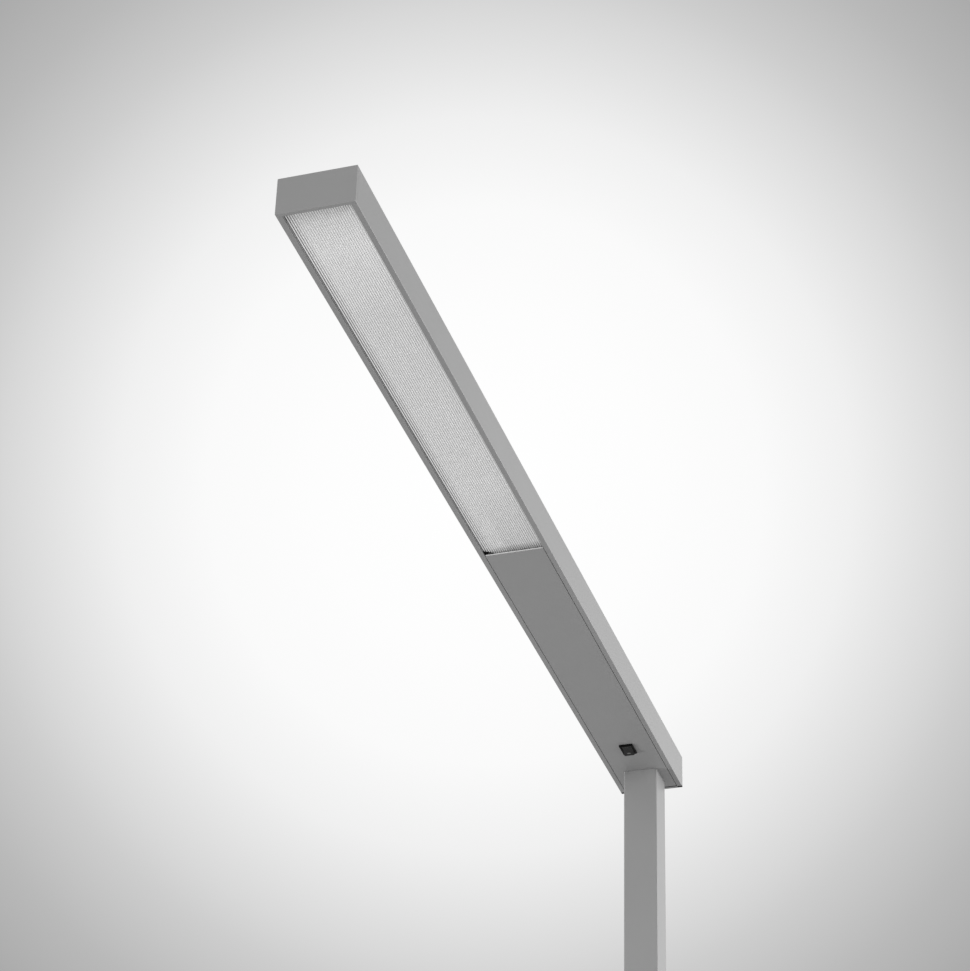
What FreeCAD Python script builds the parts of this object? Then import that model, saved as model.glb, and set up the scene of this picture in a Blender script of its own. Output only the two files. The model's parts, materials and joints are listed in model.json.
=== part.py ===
import FreeCAD, Part
import math
import os

# Office floor lamp: a square mast on a flat base plate carries a long slim head at its top.
# X runs along the head towards its free end, Y across it, Z up.
# The origin is on the floor, on the axis of the mast. All sizes are in millimetres.

# ---- overall ----
overall_height = 1950.0
head_length = 1164.0
head_width = 75.0
head_height = 40.0
rear_overhang = 16.4        # head behind the mast's rear face

# ---- mast ----
mast_width = 40.0
mast_wall = 2.5
mast_corner_radius = 1.8
mast_block_clearance = 0.1  # each side, between a block and the inside of the mast

# ---- base ----
base_length = 500.0
base_width = 300.0
base_thickness = 8.0
base_rear_reach = 80.0      # base behind the mast's axis
base_corner_radius = 6.0
base_edge_chamfer = 0.8
pad_thickness = 2.5
pad_inset = 4.0
foot_block_height = 50.0

# ---- head profile ----
profile_wall = 2.0
web_thickness = 2.0
lower_channel_height = 18.0  # underside of the head to the underside of the web
lip_width = 5.55
lip_thickness = 2.2
profile_edge_radius = 0.5
ledge_width = 2.5
ledge_thickness = 1.5
ledge_gap = 0.5             # play of the upper cover between ledge and lip

# ---- caps ----
cap_thickness = 4.0
cap_edge_chamfer = 0.4
cap_notch_depth = 3.0       # lower corners of the rear cap, where the lips of the profile end
cap_notch_height = 1.2
seal_inset = 0.4            # strip of the rear seal above the underside of the head
seal_clearance = 0.1
lug_length = 9.0
lug_width = 6.0
lug_clearance = 0.1
lower_lug_height = 11.0
upper_lug_height = 12.0

# ---- ribbed diffuser ----
rib_pitch = 2.275
rib_count = 28
rib_height = 0.55
diffuser_thickness = 2.0
diffuser_flange = 2.15
diffuser_overlap = 8.0      # how far it runs on above the cover plate
diffuser_end_gap = 0.3
diffuser_clip_length = 16.0  # clipped rear corner on the left side
diffuser_clip_width = 28.0

# ---- cover plate ----
cover_length = 568.4        # rear end of the head to the front edge of the plate
cover_thickness = 1.5
cover_side_gap = 0.6
cover_rear_gap = 1.8        # between the plate and the rear cap
post_length = 12.0
post_width = 16.0
post_places = (460.0, 512.0)
magnet_radius = 5.0
magnet_thickness = 3.0

# ---- upper cover ----
upper_cover_thickness = 2.0
upper_cover_side_gap = 0.5

# ---- fasteners ----
screw_clearance = 0.2       # radial, in a through hole
thread_clearance = 0.05     # radial, in a tapped hole
m3_radius = 1.5
m3_head_radius = 2.75
m3_head_height = 1.8
m4_radius = 2.0
m4_head_radius = 3.6
m4_head_height = 2.4
m5_radius = 2.5
m5_head_radius = 4.25
m5_head_height = 5.0
button_head_radius = 4.6
button_head_height = 2.6
m6_radius = 3.0
m6_head_radius = 5.6
m6_head_depth = 2.6
tip_gap = 0.2               # between a screw's tip and the far face of what it is tapped into
hole_bottom_gap = 1.0       # blind hole beyond the tip of its screw
base_screw_length = 30.0
base_screw_spacing = 20.0
mast_screw_length = 10.0
mast_screw_spacing = 18.0
mast_screw_inset = 28.0     # from the end of the mast
head_bolt_length = 16.0
head_bolt_spacing = 22.0

# ---- head block ----
head_block_depth = 60.0     # inside the mast
head_block_neck = 34.0      # square part that passes through the cover plate
neck_clearance = 0.3
block_bore_radius = 6.0

# ---- mains lead ----
lead_radius = 3.25
lead_entry_height = 125.0
lead_bend_radius = 12.0
lead_run_height = 5.0       # axis of the lead above the web
bushing_flange_radius = 9.0
bushing_flange_thickness = 2.0
bushing_barrel_radius = 6.0
bushing_collar_radius = 7.0
bushing_collar_thickness = 2.0
bushing_clearance = 0.05
grommet_slot_length = 16.0
grommet_slot_width = 10.0
grommet_slot_offset = 3.0   # forward of the mast's axis
grommet_wall = 1.0
grommet_flange_reach = 1.2
grommet_flange_thickness = 1.0
clamp_place = 27.0
clamp_length = 8.0
clamp_width = 24.0
clamp_height = 10.0
clamp_screw_spacing = 16.0

# ---- mains terminal block ----
terminal_start = 40.0
terminal_length = 26.0
terminal_width = 30.0
terminal_height = 11.0
terminal_screw_spacing = 24.0
terminal_pole_pitch = 8.0
pole_screw_depth = 4.0
pole_screw_radius = 1.8
wire_height = 5.5           # axis of the wires above the web
wire_radius = 1.1
wire_bend_radius = 5.0
switch_wire_step = 3.1      # one wire of the switch runs this much above the other
earth_place = -27.0         # Y of the earth screw
earth_lug_length = 16.0
earth_lug_width = 9.0
earth_lug_thickness = 1.0
earth_wire_offset = 6.5     # from the earth screw to the wire on the lug
earth_wire_bend = 2.2

# ---- switch ----
switch_place = 75.8         # forward of the mast's axis
bezel_length = 22.6
bezel_width = 16.2
bezel_height = 2.4
bezel_chamfer = 0.9
rocker_half_length = 9.2
rocker_width = 11.8
rocker_gap = 0.15
rocker_throw = 24.0         # degrees between the two stops
rocker_depth = 0.9          # valley of the rocker inside the bezel's face
rocker_back = 1.6           # rocker's inner face above its axis
pivot_depth = 0.2           # rocker's axis below the cover plate's face
trunnion_radius = 0.8
trunnion_length = 1.0
trunnion_clearance = 0.05
housing_wall = 1.0
housing_height = 12.6
snap_height = 2.5
snap_reach = 0.5
plate_cut_clearance = 0.1
boss_radius = 2.2
boss_height = 3.4
boss_bore_radius = 1.5
boss_bore_depth = 4.0
plunger_radius = 1.25
plunger_rise = 6.6          # tip of the plunger above the rocker's axis
plunger_length = 3.6
plunger_tip_radius = 0.8
spring_radius = 1.4
spring_wall = 0.35
seesaw_length = 12.0
seesaw_width = 5.0
seesaw_thickness = 0.8
seesaw_gap = 0.35           # between the plunger's tip and the seesaw
seesaw_ratio = 0.5          # seesaw's tilt for a unit of the rocker's tilt
contact_gap = 0.2
fulcrum_gap = 0.1           # between the level seesaw and the blade that it tips on
contact_offset = 6.0        # from the switch's middle to the second blade
blade_length = 4.8
blade_thickness = 0.8
blade_rise = 3.0            # blade outside the housing
blade_clearance = 0.02
wire_slot_margin = 2.6

# ---- driver ----
driver_wire_place = 98.0
driver_start = 122.0
driver_length = 250.0
driver_width = 34.0
driver_height = 14.0
driver_wire_spacing = 18.0
driver_foot_length = 8.0
driver_foot_thickness = 2.0
driver_terminal_length = 9.0
driver_terminal_width = 22.0
driver_terminal_height = 9.0
driver_terminal_drop = 3.0  # top of the terminals below the web

# ---- LED boards ----
board_width = 40.0
board_thickness = 1.6
lower_board_margin = 10.0   # from the joint and from the front cap
upper_board_start = 110.0
upper_board_count = 2
upper_board_gap = 2.0
led_size = 3.0
led_height = 0.7
led_row_spacing = 24.0
led_pitch = 32.0
board_screw_margin = 14.0
board_screw_count = 4
upper_screw_offset = 6.0    # upper screws stand beside the lower ones
connector_length = 10.0
connector_height = 4.0
lower_connector_width = 24.0
upper_connector_width = 14.0
lower_wire_spacing = 19.0
upper_wire_spacing = 6.0
upper_wire_place = 396.0
led_wire_bend = 2.5
led_wire_drop = 4.0         # the upper boards' wires leave the driver below the others

# ---- worked out from the sizes above ----
head_bottom = overall_height - head_height
head_rear = -(rear_overhang + mast_width / 2)
head_front = head_rear + head_length
inner_half = head_width / 2 - profile_wall
slot_half = head_width / 2 - lip_width
web_bottom = head_bottom + lower_channel_height
web_top = web_bottom + web_thickness
cavity_rear = head_rear + cap_thickness
cavity_front = head_front - cap_thickness
joint_place = head_rear + cover_length
cover_top = head_bottom + cover_thickness
base_bottom = pad_thickness
base_top = base_bottom + base_thickness
mast_half = mast_width / 2
mast_bore_half = mast_half - mast_wall
block_half = mast_bore_half - mast_block_clearance
lip_top = overall_height - lip_thickness
upper_cover_top = lip_top - ledge_gap
ledge_top = upper_cover_top - upper_cover_thickness
pivot_height = head_bottom - pivot_depth
rocker_rest = rocker_throw / 2
housing_half_length = rocker_half_length + rocker_gap + housing_wall
housing_half_width = rocker_width / 2 + rocker_gap + housing_wall
wire_level = web_top + wire_height
lead_level = web_top + lead_run_height

over = 1.0                  # how far a cutting tool runs past the face that it cuts
same = 1e-6                 # two lengths or directions that differ by less are the same


def box(x0, x1, y0, y1, z0, z1):
    """A block between two corners."""
    return Part.makeBox(x1 - x0, y1 - y0, z1 - z0, FreeCAD.Vector(x0, y0, z0))


def rod(x, y, z, radius, length, way=(0, 0, 1)):
    """A round bar from a point, along a direction."""
    return Part.makeCylinder(radius, length, FreeCAD.Vector(x, y, z), FreeCAD.Vector(*way))


def obround(x, length, width, z0, z1):
    """A slot-shaped block with round ends, centred on x and on the middle of the head."""
    reach = (length - width) / 2
    middle = box(x - reach, x + reach, -width / 2, width / 2, z0, z1)
    ends = [rod(x + side * reach, 0, z0, width / 2, z1 - z0) for side in (-1, 1)]
    return middle.multiFuse(ends).removeSplitter()


def fused(shapes):
    """One solid from shapes that touch or overlap."""
    return shapes[0].multiFuse(shapes[1:]).removeSplitter()


def edges_along(shape, way):
    """The straight edges that run along a direction."""
    axis = FreeCAD.Vector(*way)
    straight = [e for e in shape.Edges if isinstance(e.Curve, Part.Line)]
    return [e for e in straight if abs(abs(e.tangentAt(e.FirstParameter).dot(axis)) - 1) < same]


def corner_places(spacing_x, spacing_y):
    """The four corners of a rectangle about the origin."""
    return [(sx * spacing_x / 2, sy * spacing_y / 2) for sx in (-1, 1) for sy in (-1, 1)]


def wire_tube(points, bend, radius):
    """A round wire along straight runs joined by tangent arcs of one bend radius."""
    corners = [FreeCAD.Vector(*p) for p in points]
    edges = []
    start = corners[0]
    for before, corner, after in zip(corners, corners[1:], corners[2:]):
        back = (before - corner).normalize()
        ahead = (after - corner).normalize()
        half_turn = (math.pi - back.getAngle(ahead)) / 2
        trim = bend * math.tan(half_turn)
        arc_start = corner + back * trim
        arc_end = corner + ahead * trim
        inward = (back + ahead).normalize()
        arc_middle = corner + inward * (bend / math.cos(half_turn) - bend)
        edges.append(Part.LineSegment(start, arc_start).toShape())
        edges.append(Part.Arc(arc_start, arc_middle, arc_end).toShape())
        start = arc_end
    edges.append(Part.LineSegment(start, corners[-1]).toShape())
    way = (corners[1] - corners[0]).normalize()
    ring = Part.Wire([Part.makeCircle(radius, corners[0], way)])
    return Part.Wire(edges).makePipeShell([ring], True, False)


def pan_screw(x, y, z, radius, head_radius, head_height, length, way):
    """A screw with a flat round head; the head's seat is at the point, the shank runs along way."""
    back = (-way[0], -way[1], -way[2])
    head = rod(x, y, z, head_radius, head_height, back)
    shank = rod(x, y, z, radius, length, way)
    return fused([head, shank])


# ---- stand ----

def base_screw_places():
    return corner_places(base_screw_spacing, base_screw_spacing)


def make_base_plate():
    """Flat steel plate with rounded corners and countersunk holes under the mast."""
    rear = -base_rear_reach
    half = base_width / 2
    plate = box(rear, rear + base_length, -half, half, base_bottom, base_top)
    plate = plate.makeFillet(base_corner_radius, edges_along(plate, (0, 0, 1)))
    rim = [e for e in plate.Edges if abs(e.BoundBox.ZMin - base_top) < same]
    plate = plate.makeChamfer(base_edge_chamfer, rim)
    for x, y in base_screw_places():
        hole = rod(x, y, base_bottom - over, m6_radius + screw_clearance, base_thickness + 2 * over)
        sink = Part.makeCone(m6_head_radius + screw_clearance, m6_radius + screw_clearance, m6_head_depth,
                             FreeCAD.Vector(x, y, base_bottom))
        plate = plate.cut(fused([hole, sink]))
    return plate


def make_base_pad():
    """Soft sheet glued under the plate; the lamp stands on it."""
    rear = -base_rear_reach + pad_inset
    front = -base_rear_reach + base_length - pad_inset
    half = base_width / 2 - pad_inset
    pad = box(rear, front, -half, half, 0, pad_thickness)
    return pad.makeFillet(base_corner_radius, edges_along(pad, (0, 0, 1)))


def make_foot_block():
    """Block inside the mast's lower end, screwed to the base plate from below."""
    block = box(-block_half, block_half, -block_half, block_half, base_top, base_top + foot_block_height)
    depth = base_screw_length - base_thickness + hole_bottom_gap
    for x, y in base_screw_places():
        block = block.cut(rod(x, y, base_top, m6_radius + thread_clearance, depth))
    return block.cut(mast_screw_holes(base_top + mast_screw_inset))


def make_base_screws():
    """Countersunk screws from under the base plate into the foot block."""
    screws = []
    for x, y in base_screw_places():
        head = Part.makeCone(m6_head_radius, m6_radius, m6_head_depth, FreeCAD.Vector(x, y, base_bottom))
        shank = rod(x, y, base_bottom + m6_head_depth, m6_radius, base_screw_length - m6_head_depth)
        screws.append(fused([head, shank]))
    return Part.makeCompound(screws)


def mast_screw_places():
    return [-mast_screw_spacing / 2, mast_screw_spacing / 2]


def mast_screw_holes(height):
    """Tapped holes in a block for the screws through the mast's rear wall."""
    depth = mast_screw_length - mast_wall + hole_bottom_gap
    holes = [rod(-block_half - over, y, height, m5_radius + thread_clearance, depth + over, (1, 0, 0))
             for y in mast_screw_places()]
    return Part.makeCompound(holes)


def make_mast_screws(height):
    """Button-head screws through the mast's rear wall."""
    return Part.makeCompound([
        pan_screw(-mast_half, y, height, m5_radius, button_head_radius, button_head_height,
                  mast_screw_length, (1, 0, 0))
        for y in mast_screw_places()])


def make_mast():
    """Square tube with rounded edges, drilled in its rear wall for screws and the cable bushing."""
    tube = box(-mast_half, mast_half, -mast_half, mast_half, base_top, head_bottom)
    tube = tube.makeFillet(mast_corner_radius, edges_along(tube, (0, 0, 1)))
    bore = box(-mast_bore_half, mast_bore_half, -mast_bore_half, mast_bore_half,
               base_top - over, head_bottom + over)
    tube = tube.cut(bore)
    rear = -mast_half - over
    drill = mast_wall + 2 * over
    hole_radius = m5_radius + screw_clearance
    for height in (base_top + mast_screw_inset, head_bottom - mast_screw_inset):
        for y in mast_screw_places():
            tube = tube.cut(rod(rear, y, height, hole_radius, drill, (1, 0, 0)))
    entry = rod(rear, 0, lead_entry_height, bushing_barrel_radius + bushing_clearance, drill, (1, 0, 0))
    return tube.cut(entry)


def make_cable_bushing():
    """Flanged bushing in the mast's rear wall, where the mains lead comes in."""
    outside = -mast_half - bushing_flange_thickness
    flange = rod(outside, 0, lead_entry_height, bushing_flange_radius, bushing_flange_thickness, (1, 0, 0))
    barrel = rod(-mast_half, 0, lead_entry_height, bushing_barrel_radius, mast_wall, (1, 0, 0))
    collar = rod(-mast_bore_half, 0, lead_entry_height, bushing_collar_radius, bushing_collar_thickness,
                 (1, 0, 0))
    bushing = fused([flange, barrel, collar])
    reach = bushing_flange_thickness + mast_wall + bushing_collar_thickness
    bore = rod(outside - over, 0, lead_entry_height, lead_radius + bushing_clearance, reach + 2 * over,
               (1, 0, 0))
    return bushing.cut(bore)


def make_mains_lead():
    """Lead inside the mast, from the bushing up and forward to the terminal block."""
    return wire_tube([(-mast_half - bushing_flange_thickness, 0, lead_entry_height),
                      (0, 0, lead_entry_height),
                      (0, 0, lead_level),
                      (terminal_start, 0, lead_level)], lead_bend_radius, lead_radius)


# ---- joint between mast and head ----

def head_bolt_places():
    return corner_places(head_bolt_spacing, head_bolt_spacing)


def make_head_block():
    """Block in the mast's upper end with a square neck that reaches up to the web of the profile."""
    bottom = head_bottom - head_block_depth
    body = box(-block_half, block_half, -block_half, block_half, bottom, head_bottom)
    neck_half = head_block_neck / 2
    neck = box(-neck_half, neck_half, -neck_half, neck_half, head_bottom, web_bottom)
    block = fused([body, neck])
    block = block.cut(rod(0, 0, bottom - over, block_bore_radius, web_bottom - bottom + 2 * over))
    depth = head_bolt_length - web_thickness + hole_bottom_gap
    for x, y in head_bolt_places():
        block = block.cut(rod(x, y, web_bottom - depth, m5_radius + thread_clearance, depth + over))
    return block.cut(mast_screw_holes(head_bottom - mast_screw_inset))


def make_head_bolts():
    """Cap screws from the upper channel through the web into the head block."""
    return Part.makeCompound([
        pan_screw(x, y, web_top, m5_radius, m5_head_radius, m5_head_height, head_bolt_length, (0, 0, -1))
        for x, y in head_bolt_places()])


def make_web_grommet():
    """Edge guard in the web's slot above the mast, round the mains lead."""
    length = grommet_slot_length - 2 * thread_clearance
    width = grommet_slot_width - 2 * thread_clearance
    barrel = obround(grommet_slot_offset, length, width, web_bottom, web_top)
    flange_top = web_top + grommet_flange_thickness
    flange_length = length + 2 * grommet_flange_reach
    flange_width = width + 2 * grommet_flange_reach
    flange = obround(grommet_slot_offset, flange_length, flange_width, web_top, flange_top)
    opening = obround(grommet_slot_offset, length - 2 * grommet_wall, width - 2 * grommet_wall,
                      web_bottom - over, flange_top + over)
    return fused([barrel, flange]).cut(opening)


def clamp_screw_places():
    return [(clamp_place, side * clamp_screw_spacing / 2) for side in (-1, 1)]


def make_lead_clamp():
    """Saddle over the lead, screwed to the web."""
    rear = clamp_place - clamp_length / 2
    half = clamp_width / 2
    clamp = box(rear, rear + clamp_length, -half, half, web_top, web_top + clamp_height)
    bore_radius = lead_radius + thread_clearance
    bore = rod(rear - over, 0, lead_level, bore_radius, clamp_length + 2 * over, (1, 0, 0))
    for x, y in clamp_screw_places():
        clamp = clamp.cut(rod(x, y, web_top - over, m3_radius + screw_clearance, clamp_height + 2 * over))
    return clamp.cut(bore)


def web_screw(x, y, stack):
    """An M3 screw from the upper channel through a stack of some height and into the web."""
    return pan_screw(x, y, web_top + stack, m3_radius, m3_head_radius, m3_head_height,
                     stack + web_thickness - tip_gap, (0, 0, -1))


def make_clamp_screws():
    return Part.makeCompound([web_screw(x, y, clamp_height) for x, y in clamp_screw_places()])


# ---- head shell ----

def make_head_profile():
    """Extrusion with a web: a lower channel and an upper channel, each with two lips at its mouth."""
    half = head_width / 2
    profile = box(cavity_rear, cavity_front, -half, half, head_bottom, overall_height)
    profile = profile.makeFillet(profile_edge_radius, edges_along(profile, (1, 0, 0)))
    rear = cavity_rear - over
    front = cavity_front + over
    channels = [box(rear, front, -inner_half, inner_half, head_bottom + lip_thickness, web_bottom),
                box(rear, front, -slot_half, slot_half, head_bottom - over, web_bottom),
                box(rear, front, -inner_half, inner_half, web_top, lip_top),
                box(rear, front, -slot_half, slot_half, web_top, overall_height + over)]
    profile = profile.cut(channels)
    ledges = []
    for side in (-1, 1):
        y0, y1 = sorted((side * (inner_half - ledge_width), side * inner_half))
        ledges.append(box(cavity_rear, cavity_front, y0, y1, ledge_top - ledge_thickness, ledge_top))
    profile = fused([profile] + ledges)
    return profile.cut(web_holes())


def web_hole(x, y, radius):
    return rod(x, y, web_bottom - over, radius, web_thickness + 2 * over)


def web_holes():
    """Everything that is drilled or slotted in the web."""
    holes = [web_hole(x, y, m5_radius + screw_clearance) for x, y in head_bolt_places()]
    holes += [web_hole(x, y, m3_radius + thread_clearance) for x, y in web_screw_places()]
    holes.append(web_hole(earth_x(), earth_place, m4_radius + thread_clearance))
    low = web_bottom - over
    high = web_top + over
    holes.append(obround(grommet_slot_offset, grommet_slot_length, grommet_slot_width, low, high))
    margin = wire_radius + wire_slot_margin
    rear = switch_place - margin
    front = switch_place + contact_offset + margin
    holes.append(box(rear, front, -margin, margin, low, high))
    across = driver_wire_spacing / 2 + margin
    holes.append(box(driver_wire_place - margin, driver_wire_place + margin, -across, across, low, high))
    across = upper_wire_spacing / 2 + margin
    holes.append(box(upper_wire_place - margin, upper_wire_place + margin, -across, across, low, high))
    return holes


def web_screw_places():
    """Every place where an M3 screw is tapped into the web."""
    places = clamp_screw_places() + terminal_screw_places() + driver_screw_places() + post_screw_places()
    places += lower_board_screw_places()
    for board in upper_boards():
        places += upper_board_screw_places(board)
    return places


def make_cap(outer, inner):
    """Blank end plate and four lugs that plug into the profile's channels."""
    half = head_width / 2
    inward = 1 if inner > outer else -1
    plate = box(min(outer, inner), max(outer, inner), -half, half, head_bottom, overall_height)
    near = [e for e in plate.Edges if abs(e.BoundBox.XMin - outer) < same]
    rim = [e for e in near if abs(e.BoundBox.XMax - outer) < same]
    plate = plate.makeChamfer(cap_edge_chamfer, rim)
    tip = inner + inward * lug_length
    lugs = []
    lower_top = web_bottom - lug_clearance
    upper_bottom = web_top + lug_clearance
    for side in (-1, 1):
        wall = side * (inner_half - lug_clearance)
        y0, y1 = sorted((wall, wall - side * lug_width))
        x0, x1 = sorted((inner, tip))
        lugs.append(box(x0, x1, y0, y1, lower_top - lower_lug_height, lower_top))
        lugs.append(box(x0, x1, y0, y1, upper_bottom, upper_bottom + upper_lug_height))
    return fused([plate] + lugs)


def make_rear_cap():
    """End plate whose lower corners are notched beside the lips of the profile."""
    cap = make_cap(head_rear, cavity_rear)
    half = head_width / 2
    for side in (-1, 1):
        y0, y1 = sorted((side * slot_half, side * (half + over)))
        cap = cap.cut(box(cavity_rear - cap_notch_depth, cavity_rear, y0, y1,
                          head_bottom - over, head_bottom + cap_notch_height))
    return cap


def make_rear_seal():
    """Black rubber: a strip between the rear cap and the cover plate, and a plug in each notch of the cap."""
    half = slot_half - cover_side_gap
    strip = box(cavity_rear, cavity_rear + cover_rear_gap - seal_clearance, -half, half,
                head_bottom + seal_inset, cover_top)
    solids = [strip]
    for side in (-1, 1):
        y0, y1 = sorted((side * slot_half, side * (head_width / 2 - seal_clearance)))
        solids.append(box(cavity_rear - cap_notch_depth, cavity_rear, y0, y1,
                          head_bottom + seal_clearance, head_bottom + cap_notch_height))
    return Part.makeCompound(solids)


def make_ribbed_diffuser():
    """Clear sheet with lengthwise ribs below, each a shallow arc in section, and one clipped corner."""
    rest = head_bottom + lip_thickness
    top = rest + diffuser_thickness
    ribs_half = rib_pitch * rib_count / 2
    edge = ribs_half + diffuser_flange
    rear = joint_place - diffuser_overlap
    front = cavity_front - diffuser_end_gap

    def at(y, z):
        return FreeCAD.Vector(rear, y, z)

    outline = [Part.LineSegment(at(ribs_half, rest), at(edge, rest)),
               Part.LineSegment(at(edge, rest), at(edge, top)),
               Part.LineSegment(at(edge, top), at(-edge, top)),
               Part.LineSegment(at(-edge, top), at(-edge, rest)),
               Part.LineSegment(at(-edge, rest), at(-ribs_half, rest))]
    for rib in range(rib_count):
        left = -ribs_half + rib * rib_pitch
        outline.append(Part.Arc(at(left, rest), at(left + rib_pitch / 2, rest - rib_height),
                                at(left + rib_pitch, rest)))
    section = Part.Face(Part.Wire(Part.__sortEdges__([c.toShape() for c in outline])))
    sheet = section.extrude(FreeCAD.Vector(front - rear, 0, 0))
    low = rest - rib_height - over
    corners = [(rear - over, -edge - over), (rear + diffuser_clip_length, -edge - over),
               (rear + diffuser_clip_length, -edge), (rear, -edge + diffuser_clip_width),
               (rear - over, -edge + diffuser_clip_width)]
    points = [FreeCAD.Vector(x, y, low) for x, y in corners]
    prism = Part.Face(Part.makePolygon(points + points[:1])).extrude(FreeCAD.Vector(0, 0, top + over - low))
    return sheet.cut(prism)


def make_cover_plate():
    """Plain plate flush with the lips, cut out for the head block's neck and for the switch."""
    half = slot_half - cover_side_gap
    plate = box(cavity_rear + cover_rear_gap, joint_place, -half, half, head_bottom, cover_top)
    neck = head_block_neck / 2 + neck_clearance
    low = head_bottom - over
    high = cover_top + over
    cut_x = housing_half_length + plate_cut_clearance
    cut_y = housing_half_width + plate_cut_clearance
    return plate.cut([box(-neck, neck, -neck, neck, low, high),
                      box(switch_place - cut_x, switch_place + cut_x, -cut_y, cut_y, low, high)])


def make_upper_cover():
    """Opal sheet that closes the upper channel, held between ledges and lips."""
    half = inner_half - upper_cover_side_gap
    return box(cavity_rear + diffuser_end_gap, cavity_front - diffuser_end_gap, -half, half,
               ledge_top, upper_cover_top)


def post_screw_places():
    return [(x, 0) for x in post_places]


def make_cover_posts():
    """Blocks under the web that hold a magnet just above the cover plate."""
    posts = []
    height = web_bottom - cover_top
    for x, y in post_screw_places():
        post = box(x - post_length / 2, x + post_length / 2, -post_width / 2, post_width / 2,
                   cover_top, web_bottom)
        pocket = rod(x, y, cover_top - over, magnet_radius + thread_clearance, magnet_thickness + over)
        bore = rod(x, y, cover_top, m3_radius + thread_clearance, height + over)
        posts.append(post.cut([pocket, bore]))
    return Part.makeCompound(posts)


def make_cover_magnets():
    return Part.makeCompound([rod(x, y, cover_top, magnet_radius, magnet_thickness)
                              for x, y in post_screw_places()])


def make_post_screws():
    """Screws from the upper channel down through the web into the posts."""
    length = web_thickness + (web_bottom - cover_top - magnet_thickness) / 2
    return Part.makeCompound([
        pan_screw(x, y, web_top, m3_radius, m3_head_radius, m3_head_height, length, (0, 0, -1))
        for x, y in post_screw_places()])


# ---- supply ----

def terminal_screw_places():
    middle = terminal_start + terminal_length / 2
    return [(middle, side * terminal_screw_spacing / 2) for side in (-1, 1)]


def pole_places():
    middle = terminal_start + terminal_length / 2
    return [(middle, pole * terminal_pole_pitch) for pole in (-1, 0, 1)]


def make_mains_terminal():
    """Three-pole terminal block on the web."""
    block = box(terminal_start, terminal_start + terminal_length, -terminal_width / 2, terminal_width / 2,
                web_top, web_top + terminal_height)
    hole_radius = m3_radius + screw_clearance
    for x, y in terminal_screw_places():
        block = block.cut(rod(x, y, web_top - over, hole_radius, terminal_height + 2 * over))
    top = web_top + terminal_height
    for x, y in pole_places():
        block = block.cut(rod(x, y, top - pole_screw_depth, pole_screw_radius + thread_clearance,
                              pole_screw_depth + over))
    return block


def make_terminal_screws():
    return Part.makeCompound([web_screw(x, y, terminal_height) for x, y in terminal_screw_places()])


def make_pole_screws():
    """Clamping screws of the three poles, sunk in the block."""
    bottom = web_top + terminal_height - pole_screw_depth
    length = pole_screw_depth - tip_gap
    return Part.makeCompound([rod(x, y, bottom, pole_screw_radius, length) for x, y in pole_places()])


def earth_x():
    return terminal_start + terminal_length / 2


def make_earth_lug():
    """Flat lug that takes the earth wire to the profile."""
    x = earth_x()
    near = earth_place + earth_lug_length - earth_lug_width / 2
    lug = box(x - earth_lug_width / 2, x + earth_lug_width / 2, earth_place - earth_lug_width / 2, near,
              web_top, web_top + earth_lug_thickness)
    return lug.cut(rod(x, earth_place, web_top - over, m4_radius + screw_clearance,
                       earth_lug_thickness + 2 * over))


def make_earth_screw():
    return pan_screw(earth_x(), earth_place, web_top + earth_lug_thickness, m4_radius, m4_head_radius,
                     m4_head_height, earth_lug_thickness + web_thickness - tip_gap, (0, 0, -1))


def make_earth_wire():
    y = earth_place + earth_wire_offset
    return wire_tube([(earth_x(), -terminal_width / 2, wire_level), (earth_x(), y, wire_level),
                      (earth_x(), y, web_top + earth_lug_thickness)], earth_wire_bend, wire_radius)


def blade_places():
    return [switch_place, switch_place + contact_offset]


def blade_tip():
    return head_bottom + housing_height + blade_rise


def make_switch_wires():
    """Two wires from the switch's blades up through the web and back to the terminal block."""
    front = terminal_start + terminal_length
    return Part.makeCompound([
        wire_tube([(x, 0, blade_tip()), (x, 0, wire_level + step), (front, 0, wire_level + step)],
                  wire_bend_radius, wire_radius)
        for x, step in zip(blade_places(), (-switch_wire_step / 2, switch_wire_step / 2))])


def driver_terminal_ends():
    """Rear and front faces of the driver's body."""
    return driver_start, driver_start + driver_length


def make_driver_wires():
    """Two wires from the terminal block, down through the web, to the driver's rear terminal."""
    front = terminal_start + terminal_length
    low = web_bottom - driver_terminal_drop - driver_terminal_height / 2
    end = driver_start - driver_terminal_length
    return Part.makeCompound([
        wire_tube([(front, y, wire_level), (driver_wire_place, y, wire_level), (driver_wire_place, y, low),
                   (end, y, low)], wire_bend_radius, wire_radius)
        for y in (-driver_wire_spacing / 2, driver_wire_spacing / 2)])


def make_led_driver():
    """Slim driver under the web with a foot at each end."""
    rear, front = driver_terminal_ends()
    half = driver_width / 2
    body = box(rear, front, -half, half, web_bottom - driver_height, web_bottom)
    foot_bottom = web_bottom - driver_foot_thickness
    feet = [box(rear - driver_foot_length, rear, -half, half, foot_bottom, web_bottom),
            box(front, front + driver_foot_length, -half, half, foot_bottom, web_bottom)]
    driver = fused([body] + feet)
    for x, y in driver_screw_places():
        driver = driver.cut(rod(x, y, foot_bottom - over, m3_radius + screw_clearance,
                                driver_foot_thickness + 2 * over))
    return driver


def driver_screw_places():
    """Beside the terminals, in the feet."""
    rear, front = driver_terminal_ends()
    across = (driver_width + driver_terminal_width) / 4
    return [(x, side * across) for x in (rear - driver_foot_length / 2, front + driver_foot_length / 2)
            for side in (-1, 1)]


def under_screw(x, y, stack):
    """An M3 screw from the lower channel through a stack of some height and into the web."""
    return pan_screw(x, y, web_bottom - stack, m3_radius, m3_head_radius, m3_head_height,
                     stack + web_thickness - tip_gap, (0, 0, 1))


def make_driver_screws():
    return Part.makeCompound([under_screw(x, y, driver_foot_thickness) for x, y in driver_screw_places()])


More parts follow.
